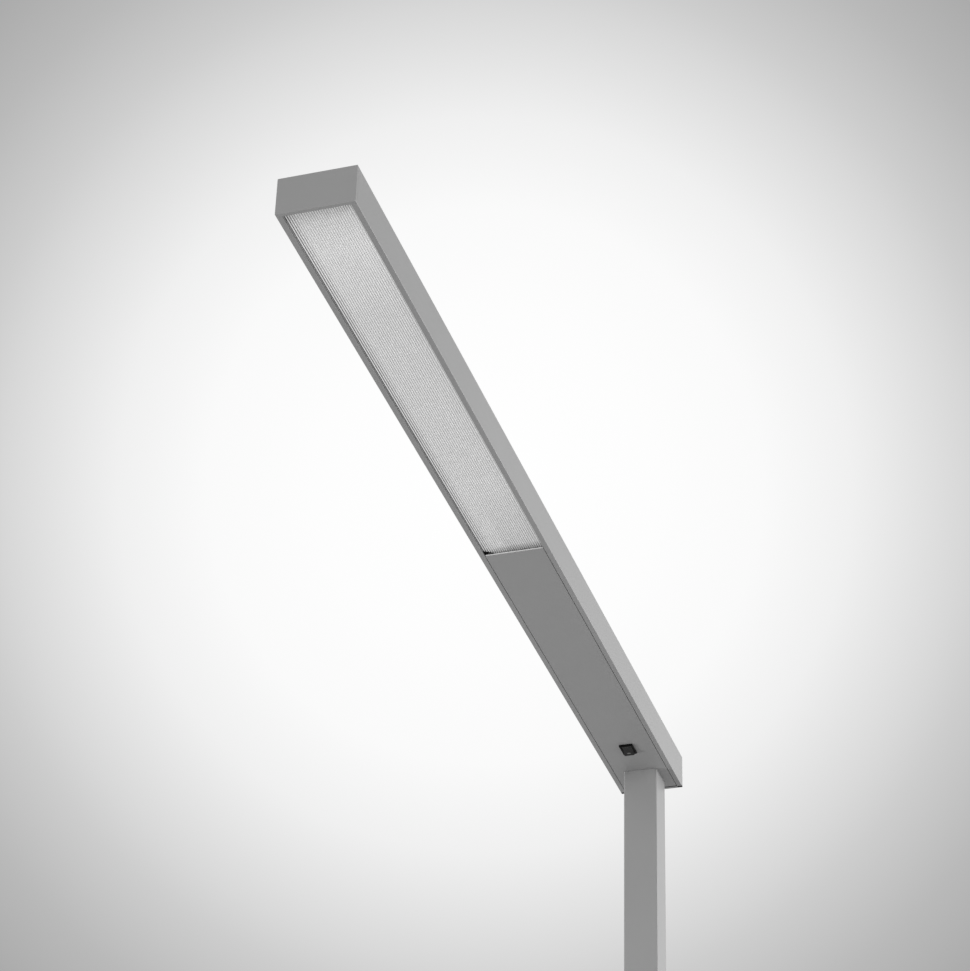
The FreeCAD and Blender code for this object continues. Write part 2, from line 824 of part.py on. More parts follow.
def make_driver_terminals():
    """Push-in terminals at both ends of the driver."""
    rear, front = driver_terminal_ends()
    top = web_bottom - driver_terminal_drop
    half = driver_terminal_width / 2
    low = top - driver_terminal_height
    return Part.makeCompound([box(rear - driver_terminal_length, rear, -half, half, low, top),
                              box(front, front + driver_terminal_length, -half, half, low, top)])


# ---- light ----

def lower_board_span():
    return joint_place + lower_board_margin, cavity_front - lug_length - lower_board_margin


def upper_boards():
    """Start and end of each upper board."""
    end = cavity_front - lug_length - lower_board_margin
    length = (end - upper_board_start - upper_board_gap * (upper_board_count - 1)) / upper_board_count
    starts = [upper_board_start + n * (length + upper_board_gap) for n in range(upper_board_count)]
    return [(start, start + length) for start in starts]


def spaced(start, end, count):
    """Evenly spaced places from start to end."""
    return [start + (end - start) * n / (count - 1) for n in range(count)]


def lower_board_screw_places():
    start, end = lower_board_span()
    return [(x, 0) for x in spaced(start + board_screw_margin, end - board_screw_margin, board_screw_count)]


def upper_board_screw_places(board):
    start, end = board
    return [(x, upper_screw_offset)
            for x in spaced(start + board_screw_margin, end - board_screw_margin, board_screw_count)]


def led_places(start, end):
    """Two rows of places along a board, clear of its ends."""
    room = end - start - 2 * board_screw_margin - connector_length
    count = int(room // led_pitch) + 1
    first = end - board_screw_margin - (count - 1) * led_pitch
    return [(first + n * led_pitch, side * led_row_spacing / 2) for n in range(count) for side in (-1, 1)]


def led_block(x, y, z):
    half = led_size / 2
    return box(x - half, x + half, y - half, y + half, z, z + led_height)


def make_lower_board():
    start, end = lower_board_span()
    board = box(start, end, -board_width / 2, board_width / 2, web_bottom - board_thickness, web_bottom)
    for x, y in lower_board_screw_places():
        board = board.cut(rod(x, y, web_bottom - board_thickness - over, m3_radius + screw_clearance,
                              board_thickness + 2 * over))
    return board


def make_lower_leds():
    bottom = web_bottom - board_thickness - led_height
    return Part.makeCompound([led_block(x, y, bottom) for x, y in led_places(*lower_board_span())])


def make_lower_board_screws():
    return Part.makeCompound([under_screw(x, y, board_thickness) for x, y in lower_board_screw_places()])


def make_upper_board(board):
    start, end = board
    shape = box(start, end, -board_width / 2, board_width / 2, web_top, web_top + board_thickness)
    low = web_top - over
    depth = board_thickness + 2 * over
    for x, y in upper_board_screw_places(board):
        shape = shape.cut(rod(x, y, low, m3_radius + screw_clearance, depth))
    start_cut = upper_wire_place - wire_radius - wire_slot_margin
    end_cut = upper_wire_place + wire_radius + wire_slot_margin
    across = upper_wire_spacing / 2 + wire_radius + wire_slot_margin
    slot = box(start_cut, end_cut, -across, across, low, low + depth)
    for x, y in post_screw_places():
        shape = shape.cut(rod(x, y, low, m3_head_radius + screw_clearance, depth))
    return shape.cut(slot)


def make_upper_leds():
    top = web_top + board_thickness
    return Part.makeCompound([led_block(x, y, top)
                              for board in upper_boards() for x, y in led_places(*board)])


def make_upper_board_screws():
    return Part.makeCompound([web_screw(x, y, board_thickness)
                              for board in upper_boards() for x, y in upper_board_screw_places(board)])


def upper_connector_start():
    return upper_wire_place + wire_radius + wire_slot_margin + 2 * led_wire_bend


def make_led_connectors():
    """Plug blocks on the boards where the LED wires arrive."""
    start = lower_board_span()[0]
    half = lower_connector_width / 2
    low = web_bottom - board_thickness
    lower = box(start, start + connector_length, -half, half, low - connector_height, low)
    start = upper_connector_start()
    half = upper_connector_width / 2
    high = web_top + board_thickness
    upper = box(start, start + connector_length, -half, half, high, high + connector_height)
    return Part.makeCompound([lower, upper])


def make_led_wires():
    """Wires from the driver's front terminal to the connectors of the lower and the upper boards."""
    front = driver_terminal_ends()[1] + driver_terminal_length
    lower_level = web_bottom - board_thickness - connector_height / 2
    upper_level = web_top + board_thickness + connector_height / 2
    rise_start = lower_level - led_wire_drop
    wires = []
    for side in (-1, 1):
        y = side * lower_wire_spacing / 2
        wires.append(wire_tube([(front, y, lower_level), (lower_board_span()[0], y, lower_level)],
                               led_wire_bend, wire_radius))
        y = side * upper_wire_spacing / 2
        wires.append(wire_tube([(front, y, rise_start), (upper_wire_place, y, rise_start),
                                (upper_wire_place, y, upper_level),
                                (upper_connector_start(), y, upper_level)], led_wire_bend, wire_radius))
    return Part.makeCompound(wires)


# ---- switch ----

def tilted(shape, height, degrees):
    """A piece of the switch turned about a crosswise axis through the switch's middle."""
    turned = shape.copy()
    turned.rotate(FreeCAD.Vector(switch_place, 0, height), FreeCAD.Vector(0, 1, 0), degrees)
    return turned


def make_switch_housing():
    """Bezel on the cover plate with a closed box above it; two snap lugs lie on the plate's upper face."""
    bezel_face = head_bottom - bezel_height
    half_x = bezel_length / 2
    half_y = bezel_width / 2
    bezel = box(switch_place - half_x, switch_place + half_x, -half_y, half_y, bezel_face, head_bottom)
    rim = [e for e in bezel.Edges if abs(e.BoundBox.ZMax - bezel_face) < same]
    bezel = bezel.makeChamfer(bezel_chamfer, rim)
    top = head_bottom + housing_height
    shell = box(switch_place - housing_half_length, switch_place + housing_half_length,
                -housing_half_width, housing_half_width, head_bottom, top)
    reach = housing_half_length + plate_cut_clearance + snap_reach
    snaps = box(switch_place - reach, switch_place + reach, -housing_half_width / 2, housing_half_width / 2,
                cover_top, cover_top + snap_height)
    body = fused([bezel, shell, snaps])
    cave_x = housing_half_length - housing_wall
    cave_y = housing_half_width - housing_wall
    cave = box(switch_place - cave_x, switch_place + cave_x, -cave_y, cave_y,
               bezel_face - over, top - housing_wall)
    body = body.cut(cave)
    reach = rocker_width / 2 + trunnion_length + trunnion_clearance
    body = body.cut(rod(switch_place, -reach, pivot_height, trunnion_radius + trunnion_clearance, 2 * reach,
                        (0, 1, 0)))
    slot_x = blade_thickness / 2 + blade_clearance
    slot_y = blade_length / 2 + blade_clearance
    for x in blade_places():
        body = body.cut(box(x - slot_x, x + slot_x, -slot_y, slot_y, top - housing_wall - over, top + over))
    return body


def make_switch_rocker():
    """Rocker with two faces that meet in a shallow valley, round ends about its axis, and trunnions."""
    slope = math.tan(math.radians(rocker_rest))
    valley = bezel_height - rocker_depth - pivot_depth
    # the end of a face lies where its line meets the circle of the round end
    a = 1 + slope ** 2
    b = valley * slope
    end_x = (-b + math.sqrt(b ** 2 - a * (valley ** 2 - rocker_half_length ** 2))) / a
    end_z = valley + end_x * slope
    back_x = math.sqrt(rocker_half_length ** 2 - rocker_back ** 2)
    start_y = -rocker_width / 2

    def at(x, z):
        return FreeCAD.Vector(switch_place + x, start_y, pivot_height + z)

    outline = [Part.LineSegment(at(0, -valley), at(end_x, -end_z)),
               Part.Arc(at(end_x, -end_z), at(rocker_half_length, 0), at(back_x, rocker_back)),
               Part.LineSegment(at(back_x, rocker_back), at(-back_x, rocker_back)),
               Part.Arc(at(-back_x, rocker_back), at(-rocker_half_length, 0), at(-end_x, -end_z)),
               Part.LineSegment(at(-end_x, -end_z), at(0, -valley))]
    section = Part.Face(Part.Wire([c.toShape() for c in outline]))
    body = section.extrude(FreeCAD.Vector(0, rocker_width, 0))
    reach = rocker_width / 2 + trunnion_length
    trunnions = rod(switch_place, -reach, pivot_height, trunnion_radius, 2 * reach, (0, 1, 0))
    boss = rod(switch_place, 0, pivot_height, boss_radius, rocker_back + boss_height)
    rocker = fused([body, trunnions, boss])
    top = pivot_height + rocker_back + boss_height
    bore = rod(switch_place, 0, top - boss_bore_depth, boss_bore_radius, boss_bore_depth + over)
    return tilted(rocker.cut(bore), pivot_height, -rocker_rest)


def make_switch_plunger():
    """Pin in the rocker's boss that slides over the seesaw."""
    bottom = pivot_height + plunger_rise - plunger_length
    pin = rod(switch_place, 0, bottom, plunger_radius, plunger_length)
    tip = [e for e in pin.Edges if abs(e.BoundBox.ZMin - bottom - plunger_length) < same]
    return tilted(pin.makeFillet(plunger_tip_radius, tip), pivot_height, -rocker_rest)


def make_plunger_spring():
    """Space that the small coil spring under the plunger fills."""
    bottom = pivot_height + rocker_back + boss_height - boss_bore_depth
    length = pivot_height + plunger_rise - plunger_length - bottom
    outside = rod(switch_place, 0, bottom, spring_radius, length)
    inside = rod(switch_place, 0, bottom - over, spring_radius - spring_wall, length + 2 * over)
    return tilted(outside.cut(inside), pivot_height, -rocker_rest)


def seesaw_height():
    """Upper face of the seesaw when it is level, which holds its axis."""
    return pivot_height + plunger_rise + seesaw_gap + seesaw_thickness


def make_seesaw_contact():
    """Contact strip that tips over the middle blade."""
    half_x = seesaw_length / 2
    half_y = seesaw_width / 2
    top = seesaw_height()
    strip = box(switch_place - half_x, switch_place + half_x, -half_y, half_y, top - seesaw_thickness, top)
    return tilted(strip, top, rocker_rest * seesaw_ratio)


def make_switch_blades():
    """Two blades through the housing's roof: the seesaw's support and the contact at its end."""
    lift = seesaw_length / 2 * math.sin(math.radians(rocker_rest * seesaw_ratio))
    bottoms = (seesaw_height() + fulcrum_gap, seesaw_height() + lift + contact_gap)
    half_x = blade_thickness / 2
    half_y = blade_length / 2
    return Part.makeCompound([box(x - half_x, x + half_x, -half_y, half_y, bottom, blade_tip())
                              for x, bottom in zip(blade_places(), bottoms)])


# ---- all pieces ----

pieces = {
    "base_plate": make_base_plate(),
    "base_pad": make_base_pad(),
    "base_screws": make_base_screws(),
    "foot_block": make_foot_block(),
    "foot_screws": make_mast_screws(base_top + mast_screw_inset),
    "mast": make_mast(),
    "cable_bushing": make_cable_bushing(),
    "mains_lead": make_mains_lead(),
    "head_block": make_head_block(),
    "head_block_screws": make_mast_screws(head_bottom - mast_screw_inset),
    "head_bolts": make_head_bolts(),
    "web_grommet": make_web_grommet(),
    "lead_clamp": make_lead_clamp(),
    "clamp_screws": make_clamp_screws(),
    "head_profile": make_head_profile(),
    "front_cap": make_cap(head_front, cavity_front),
    "rear_cap": make_rear_cap(),
    "rear_seal": make_rear_seal(),
    "ribbed_diffuser": make_ribbed_diffuser(),
    "cover_plate": make_cover_plate(),
    "cover_posts": make_cover_posts(),
    "cover_magnets": make_cover_magnets(),
    "post_screws": make_post_screws(),
    "upper_cover": make_upper_cover(),
    "mains_terminal": make_mains_terminal(),
    "terminal_screws": make_terminal_screws(),
    "pole_screws": make_pole_screws(),
    "earth_lug": make_earth_lug(),
    "earth_screw": make_earth_screw(),
    "earth_wire": make_earth_wire(),
    "led_driver": make_led_driver(),
    "driver_screws": make_driver_screws(),
    "driver_terminals": make_driver_terminals(),
    "driver_wires": make_driver_wires(),
    "lower_board": make_lower_board(),
    "lower_leds": make_lower_leds(),
    "lower_board_screws": make_lower_board_screws(),
    "upper_leds": make_upper_leds(),
    "upper_board_screws": make_upper_board_screws(),
    "led_connectors": make_led_connectors(),
    "led_wires": make_led_wires(),
    "switch_housing": make_switch_housing(),
    "switch_rocker": make_switch_rocker(),
    "switch_plunger": make_switch_plunger(),
    "plunger_spring": make_plunger_spring(),
    "seesaw_contact": make_seesaw_contact(),
    "switch_blades": make_switch_blades(),
    "switch_wires": make_switch_wires(),
}
for number, board in enumerate(upper_boards(), 1):
    pieces[f"upper_board_{number}"] = make_upper_board(board)

os.makedirs("parts", exist_ok=True)
for name, shape in pieces.items():
    shape.exportStep(f"parts/{name}.step")
    print(f"{name}: {len(shape.Solids)} solid(s), {shape.Volume:.1f} mm3, valid {shape.isValid()}")
print(f"rocker axis {switch_place}, 0, {pivot_height}")
print(f"seesaw axis {switch_place}, 0, {seesaw_height():.3f}")
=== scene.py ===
import json
import math

import bpy
import numpy as np
from mathutils import Matrix, Vector


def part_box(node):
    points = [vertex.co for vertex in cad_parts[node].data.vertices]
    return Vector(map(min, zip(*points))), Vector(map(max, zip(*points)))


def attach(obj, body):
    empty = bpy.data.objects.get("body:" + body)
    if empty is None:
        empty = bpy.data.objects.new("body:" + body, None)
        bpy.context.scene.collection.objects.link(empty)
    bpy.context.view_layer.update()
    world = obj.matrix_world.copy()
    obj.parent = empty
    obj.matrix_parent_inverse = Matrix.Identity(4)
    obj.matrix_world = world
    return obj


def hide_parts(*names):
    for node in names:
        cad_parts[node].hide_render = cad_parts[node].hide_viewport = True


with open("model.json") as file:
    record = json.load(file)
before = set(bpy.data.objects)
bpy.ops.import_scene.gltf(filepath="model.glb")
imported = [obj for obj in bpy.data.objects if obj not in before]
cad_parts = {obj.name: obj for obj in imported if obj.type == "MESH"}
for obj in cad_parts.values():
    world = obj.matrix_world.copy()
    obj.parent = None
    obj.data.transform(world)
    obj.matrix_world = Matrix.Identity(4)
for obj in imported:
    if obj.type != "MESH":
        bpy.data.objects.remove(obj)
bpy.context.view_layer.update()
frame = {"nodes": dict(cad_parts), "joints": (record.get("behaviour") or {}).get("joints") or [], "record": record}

MM = 0.001

# ---- sizes of the lamp, read from the frame ----

profile_low, profile_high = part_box("head_profile")
head_bottom = profile_low.z
head_top = profile_high.z
head_half = profile_high.y
head_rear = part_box("rear_cap")[0].x
head_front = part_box("front_cap")[1].x
mast_low, mast_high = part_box("mast")
mast_half = mast_high.x
switch_middle = sum(corner.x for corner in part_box("switch_housing")) / 2
joints = {joint["name"]: joint for joint in frame["joints"]}
rocker_axis = Vector(joints["rocker_tilt"]["pos_m"])
rocker_half_throw = math.radians(joints["rocker_tilt"]["range_deg"][1]) / 2

# ---- the finer shapes that the frame's boxes don't tell ----

wall = 2.0 * MM
web_low = head_bottom + 18.0 * MM
web_high = web_low + 2.0 * MM
lip_width = 5.55 * MM
lip_thickness = 2.2 * MM
upper_lip_thickness = 2.0 * MM
ledge_width = 2.5 * MM
ledge_high = head_top - 4.7 * MM
ledge_low = ledge_high - 1.5 * MM
profile_edge = 0.5 * MM
lip_edge = 0.25 * MM
cap_edge = 0.2 * MM
cap_notch_depth = 3.0 * MM
cap_notch_height = 1.2 * MM
seal_inset = 0.1 * MM
seal_clearance = 0.1 * MM
mast_wall = 2.5 * MM
mast_edge = 1.8 * MM
foot_corner = 6.0 * MM
base_edge = 0.9 * MM
pad_edge = 0.4 * MM
rib_pitch = 2.275 * MM
rib_count = 28
rib_height = 0.55 * MM
# the painted highlight of each rib lies this share of the way across it
painted_highlight_share = 0.85
sheet_edge = 0.2 * MM
# the rear left corner of the ribbed sheet is clipped
clip_x = 16.0 * MM
clip_y = 28.0 * MM
# how far the valley between the rocker's two faces lies below its axis
rocker_valley = 1.3 * MM
# the smallest radius that a rounded corner keeps where its rim is drawn in
least_corner = 0.02 * MM


# ---- mesh helpers ----

def mesh_object(name, points, faces, sharp_degrees=32):
    """An object from points (n, 3) and faces, smooth-shaded but for edges sharper than an angle."""
    mesh = bpy.data.meshes.new(name)
    mesh.from_pydata([tuple(p) for p in np.asarray(points, float)], [], [list(map(int, f)) for f in faces])
    mesh.update()
    piece = bpy.data.objects.new(name, mesh)
    bpy.context.scene.collection.objects.link(piece)
    return smoothed(piece, sharp_degrees)


def smoothed(piece, sharp_degrees):
    """Large faces stay flat, and the small rounded edges beside them take up the turn."""
    mesh = piece.data
    mesh.polygons.foreach_set("use_smooth", np.ones(len(mesh.polygons), bool))
    mesh.set_sharp_from_angle(angle=math.radians(sharp_degrees))
    weighted = piece.modifiers.new("weighted", "WEIGHTED_NORMAL")
    weighted.keep_sharp = True
    weighted.weight = 100
    return piece


def cut_out(piece, prism_outline, low, high, sharp_degrees=32):
    """Takes an upright prism, an outline (x, y) from one height to another, out of a closed piece."""
    cutter = mesh_object("cutter", *bar(np.asarray(prism_outline, float), (low, high), upright))
    piece.modifiers.clear()
    cut = piece.modifiers.new("cut", "BOOLEAN")
    cut.operation = "DIFFERENCE"
    cut.solver = "EXACT"
    cut.object = cutter
    piece.data = bpy.data.meshes.new_from_object(piece.evaluated_get(bpy.context.evaluated_depsgraph_get()))
    piece.modifiers.clear()
    bpy.data.objects.remove(cutter)
    return smoothed(piece, sharp_degrees)


def join_parts(parts):
    """Stacks (points, faces) pairs into one pair."""
    points, faces, start = [], [], 0
    for part_points, part_faces in parts:
        points.append(np.asarray(part_points, float))
        faces += [[start + i for i in face] for face in part_faces]
        start += len(part_points)
    return np.concatenate(points), faces


def outline(corners, radii, steps=5):
    """Closed outline, anticlockwise, whose corners are rounded.

    At a corner the arc starts and ends radius / tan(half the inside angle) from it along both sides,
    and its points run evenly in angle about the centre on the bisector.
    """
    corners = np.asarray(corners, float)
    radii = np.broadcast_to(radii, len(corners))
    rounded = []
    for i, (corner, radius) in enumerate(zip(corners, radii)):
        if radius == 0:
            rounded.append(corner[None])
            continue
        back = corners[i - 1] - corner
        ahead = corners[(i + 1) % len(corners)] - corner
        back /= np.linalg.norm(back)
        ahead /= np.linalg.norm(ahead)
        half = math.acos(np.clip(back @ ahead, -1, 1)) / 2
        bisector = (back + ahead) / np.linalg.norm(back + ahead)
        centre = corner + bisector * radius / math.sin(half)
        start = corner + back * radius / math.tan(half) - centre
        end = corner + ahead * radius / math.tan(half) - centre
        share = np.linspace(0, 1, steps + 1)[:, None]
        sweep = math.pi - 2 * half
        arc = (np.sin((1 - share) * sweep) * start + np.sin(share * sweep) * end) / math.sin(sweep)
        rounded.append(centre + arc)
    return np.concatenate(rounded)


def bar(section, stations, place):
    """A closed solid from rings of one section, each ring moved by place(section, station).

    The ring at each station keeps the section's order, quads join neighbouring rings and one flat
    face closes each end.
    """
    count = len(section)
    rings = np.concatenate([place(section, station) for station in stations])
    ring = np.arange(count)
    quads = []
    for k in range(len(stations) - 1):
        a = k * count + ring
        b = k * count + np.roll(ring, -1)
        quads.append(np.stack([a, b, b + count, a + count], 1))
    faces = [list(q) for q in np.concatenate(quads)]
    faces.append(list(ring[::-1]))
    faces.append(list((len(stations) - 1) * count + ring))
    return rings, faces


def along_x(section, x):
    """Section (y, z) set at a place along the head; an anticlockwise section then faces outwards."""
    return np.column_stack([np.full(len(section), x), section])


def upright(section, z):
    """Section (x, y) set at a height; an anticlockwise section, carried up, faces outwards."""
    return np.column_stack([section, np.full(len(section), z)])


def rectangle(half_a, half_b, radius, steps=6, centre=(0.0, 0.0)):
    """Rounded rectangle about a centre, anticlockwise."""
    corners = np.array([(-half_a, -half_b), (half_a, -half_b), (half_a, half_b), (-half_a, half_b)])
    return outline(corners + centre, radius, steps)


def edge_rings(half_a, half_b, corner, low, high, edge, centre=(0.0, 0.0), steps=4, corner_steps=6):
    """Rings (points, height) of a slab with rounded rims: a quarter circle of radius edge at each rim.

    A ring at angle t on the rim is drawn in by edge * (1 - cos t) and lies edge * (1 - sin t) from the face.
    """
    turn = np.linspace(math.pi / 2, 0, steps + 1)
    inset = np.concatenate([edge * (1 - np.cos(turn)), edge * (1 - np.cos(turn[::-1]))])
    depth = np.concatenate([low + edge * (1 - np.sin(turn)), high - edge * (1 - np.sin(turn[::-1]))])
    return [(rectangle(half_a - d, half_b - d, max(corner - d, least_corner), corner_steps, centre), h)
            for d, h in zip(inset, depth)]


def slab(half_a, half_b, corner, low, high, edge, centre=(0.0, 0.0), axis="z", corner_steps=6):
    """A rectangular slab with rounded corners and rims; its thickness lies along an axis."""
    order = {"z": (0, 1, 2), "x": (2, 0, 1)}[axis]
    rings = edge_rings(half_a, half_b, corner, low, high, edge, centre, corner_steps=corner_steps)
    points, faces = bar(rings[0][0], rings, lambda section, ring: upright(*ring))
    return points[:, order], faces


def lathe(profile, start, way, segments=48):
    """A solid of revolution: profile (radius, height) turned about an axis from a point along way.

    Each profile point makes one ring; a point on the axis makes a pole.
    """
    profile = np.asarray(profile, float)
    way = Vector(way).normalized()
    side = way.orthogonal().normalized()
    third = way.cross(side)
    angle = np.linspace(0, 2 * math.pi, segments, endpoint=False)
    ring = np.cos(angle)[:, None] * np.array(side) + np.sin(angle)[:, None] * np.array(third)
    points, rows = [], []
    for radius, height in profile:
        middle = np.array(start) + height * np.array(way)
        base = sum(len(p) for p in points)
        if radius == 0:
            points.append(middle[None])
            rows.append(np.full(segments, base))
        else:
            points.append(middle + radius * ring)
            rows.append(base + np.arange(segments))
    faces = []
    for low, high in zip(rows, rows[1:]):
        for a, b, c, d in zip(low, np.roll(low, -1), np.roll(high, -1), high):
            face = list(dict.fromkeys((int(a), int(b), int(c), int(d))))
            if len(face) > 2:
                faces.append(face)
    return np.concatenate(points), faces


def pierced_sheet(xs, ys, holes, low, high):
    """A flat sheet on a grid of lines xs and ys with some cells left open.

    Every kept cell gives an upper and a lower face, and a side face wherever its neighbour is open or
    outside.
    """
    nx, ny = len(xs) - 1, len(ys) - 1
    gx, gy = np.meshgrid(xs, ys, indexing="ij")
    flat = np.column_stack([gx.ravel(), gy.ravel()])
    points = np.concatenate([upright(flat, low), upright(flat, high)])
    lift = len(flat)
    kept = np.ones((nx + 2, ny + 2), bool)
    kept[[0, -1], :] = False
    kept[:, [0, -1]] = False
    for i, j in holes:
        kept[i + 1, j + 1] = False
    faces = []
    for i in range(nx):
        for j in range(ny):
            if not kept[i + 1, j + 1]:
                continue
            a, b = i * (ny + 1) + j, (i + 1) * (ny + 1) + j
            c, d = b + 1, a + 1
            faces += [[a, d, c, b], [a + lift, b + lift, c + lift, d + lift]]
            for open_side, p, q in ((not kept[i + 1, j], a, b), (not kept[i + 2, j + 1], b, c),
                                    (not kept[i + 1, j + 2], c, d), (not kept[i, j + 1], d, a)):
                if open_side:
                    faces.append([p, q, q + lift, p + lift])
    used = sorted({i for face in faces for i in face})
    place = {old: new for new, old in enumerate(used)}
    return points[used], [[place[i] for i in face] for face in faces]


def bevelled(piece, width, segments=2, sharp_degrees=40):
    """Rounds the edges of a finished shape that are sharper than an angle."""
    bevel = piece.modifiers.new("edge", "BEVEL")
    bevel.width = width
    bevel.segments = segments
    bevel.limit_method = "ANGLE"
    bevel.angle_limit = math.radians(sharp_degrees)
    bevel.harden_normals = True
    return piece


def dress(piece, nodes, body, material):
    """Finishes a piece: its material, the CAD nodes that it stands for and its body."""
    piece.data.materials.clear()
    piece.data.materials.append(material)
    if nodes:
        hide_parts(*nodes)
    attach(piece, body)
    return piece


# ---- material helpers ----

def colour(code):
    """Linear RGBA from an sRGB hex value: below 0.04045 a straight line, above it a power of 2.4."""
    values = [int(code[i:i + 2], 16) / 255 for i in (1, 3, 5)]
    return [v / 12.92 if v <= 0.04045 else ((v + 0.055) / 1.055) ** 2.4 for v in values] + [1.0]


def node(tree, kind, settings=None):
    """Adds a node; each setting is a property, or an input that takes a value or another node's output."""
    made = tree.nodes.new(kind)
    for key, value in (settings or {}).items():
        if isinstance(key, str) and hasattr(made, key):
            setattr(made, key, value)
        elif isinstance(value, bpy.types.NodeSocket):
            tree.links.new(value, made.inputs[key])
        else:
            made.inputs[key].default_value = value
    return made


def finish(name, shader, build=None):
    """A material with one Principled BSDF; build(tree, bsdf) adds its pattern."""
    material = bpy.data.materials.new(name)
    material.use_nodes = True
    tree = material.node_tree
    bsdf = tree.nodes["Principled BSDF"]
    for key, value in shader.items():
        bsdf.inputs[key].default_value = value
    if build:
        build(tree, bsdf)
    return material


def grain(tree, scale_mm, stretch=(1, 1, 1), detail=2.0):
    """Noise on Object coordinates whose grain is scale_mm across; a stretch under 1 draws it out."""
    place = node(tree, "ShaderNodeTexCoord").outputs["Object"]
    drawn = node(tree, "ShaderNodeMapping", {"Scale": stretch, "Vector": place}).outputs["Vector"]
    per_metre = 1 / (scale_mm * MM)
    noise = node(tree, "ShaderNodeTexNoise", {"Scale": per_metre, "Detail": detail, "Vector": drawn})
    return noise.outputs["Fac"]


def surface(tree, bsdf, pattern, colours=None, roughness=None, relief=None):
    """Lets a pattern from 0 to 1 lead the colour, the roughness and the relief.

    Colours are two sRGB hex values, roughness is a lowest and a highest value, and relief is a depth in
    millimetres with its strength.
    """
    if colours:
        low, high = map(colour, colours)
        mix = node(tree, "ShaderNodeMix", {"data_type": "RGBA", 0: pattern, 6: low, 7: high})
        tree.links.new(mix.outputs[2], bsdf.inputs["Base Color"])
    if roughness:
        low, high = roughness
        gloss = node(tree, "ShaderNodeMapRange", {"Value": pattern, "To Min": low, "To Max": high})
        tree.links.new(gloss.outputs["Result"], bsdf.inputs["Roughness"])
    if relief:
        depth_mm, strength = relief
        bump = node(tree, "ShaderNodeBump",
                    {"Height": pattern, "Distance": depth_mm * MM, "Strength": strength})
        tree.links.new(bump.outputs["Normal"], bsdf.inputs["Normal"])


# ---- finishes ----

def anodised_aluminium(name, stretch):
    """Extruded aluminium, etched deep matt and anodised silver: an even grey with hardly any sheen."""
    def build(tree, bsdf):
        surface(tree, bsdf, grain(tree, 60.0), colours=("#a2a2a2", "#9e9e9e"))
        draw_lines = grain(tree, 0.9, stretch, detail=3.0)
        surface(tree, bsdf, draw_lines, roughness=(0.44, 0.54), relief=(0.01, 0.25))
    return finish(name, {"Metallic": 0.4}, build)


# drawn along X on the head and along Z on the mast; the grain is 40 times longer than wide
aluminium_head = anodised_aluminium("anodised_aluminium_head", (0.025, 1, 1))
aluminium_mast = anodised_aluminium("anodised_aluminium_mast", (1, 1, 0.025))


def sawn(tree, bsdf):
    """Sawn aluminium: bright and dull, as the teeth leave it; near white, partly bare metal and partly a painted
    highlight on the lit cut edge.
    """
    surface(tree, bsdf, grain(tree, 0.5), colours=("#fafafa", "#ececec"))


bare_cut_edge_highlight = finish("bare_cut_edge_highlight", {"Metallic": 0.2, "Roughness": 0.6}, sawn)


def powder(tree, bsdf):
    """Fine-structure powder coat: 0.35 mm orange-peel, drawn at 0.6 mm so that it shows."""
    surface(tree, bsdf, grain(tree, 45.0), colours=("#acacac", "#a7a7a7"))
    surface(tree, bsdf, grain(tree, 0.6, detail=3.0), roughness=(0.42, 0.58), relief=(0.05, 0.5))


powder_coat = finish("powder_coat_silver_grey", {"Metallic": 0.55}, powder)

# painted shadow of the left lip: where the painted rib shade grows darker across the sheet, from its middle, with
# the left side negative
left_lip_painted_shadow_span = (-30.0 * MM, -21.0 * MM)
left_lip_painted_shadow_strengths = (1.7, 0.87)
# painted shade in the outermost rib, in the corner beside the left lip
lip_corner_painted_shade = (-31.2 * MM, -30.4 * MM)
# how far the painted shade at the sheet's end reaches from the cover plate, and its dark share there
painted_end_shade = 12.0 * MM
painted_end_shade_share = 0.5


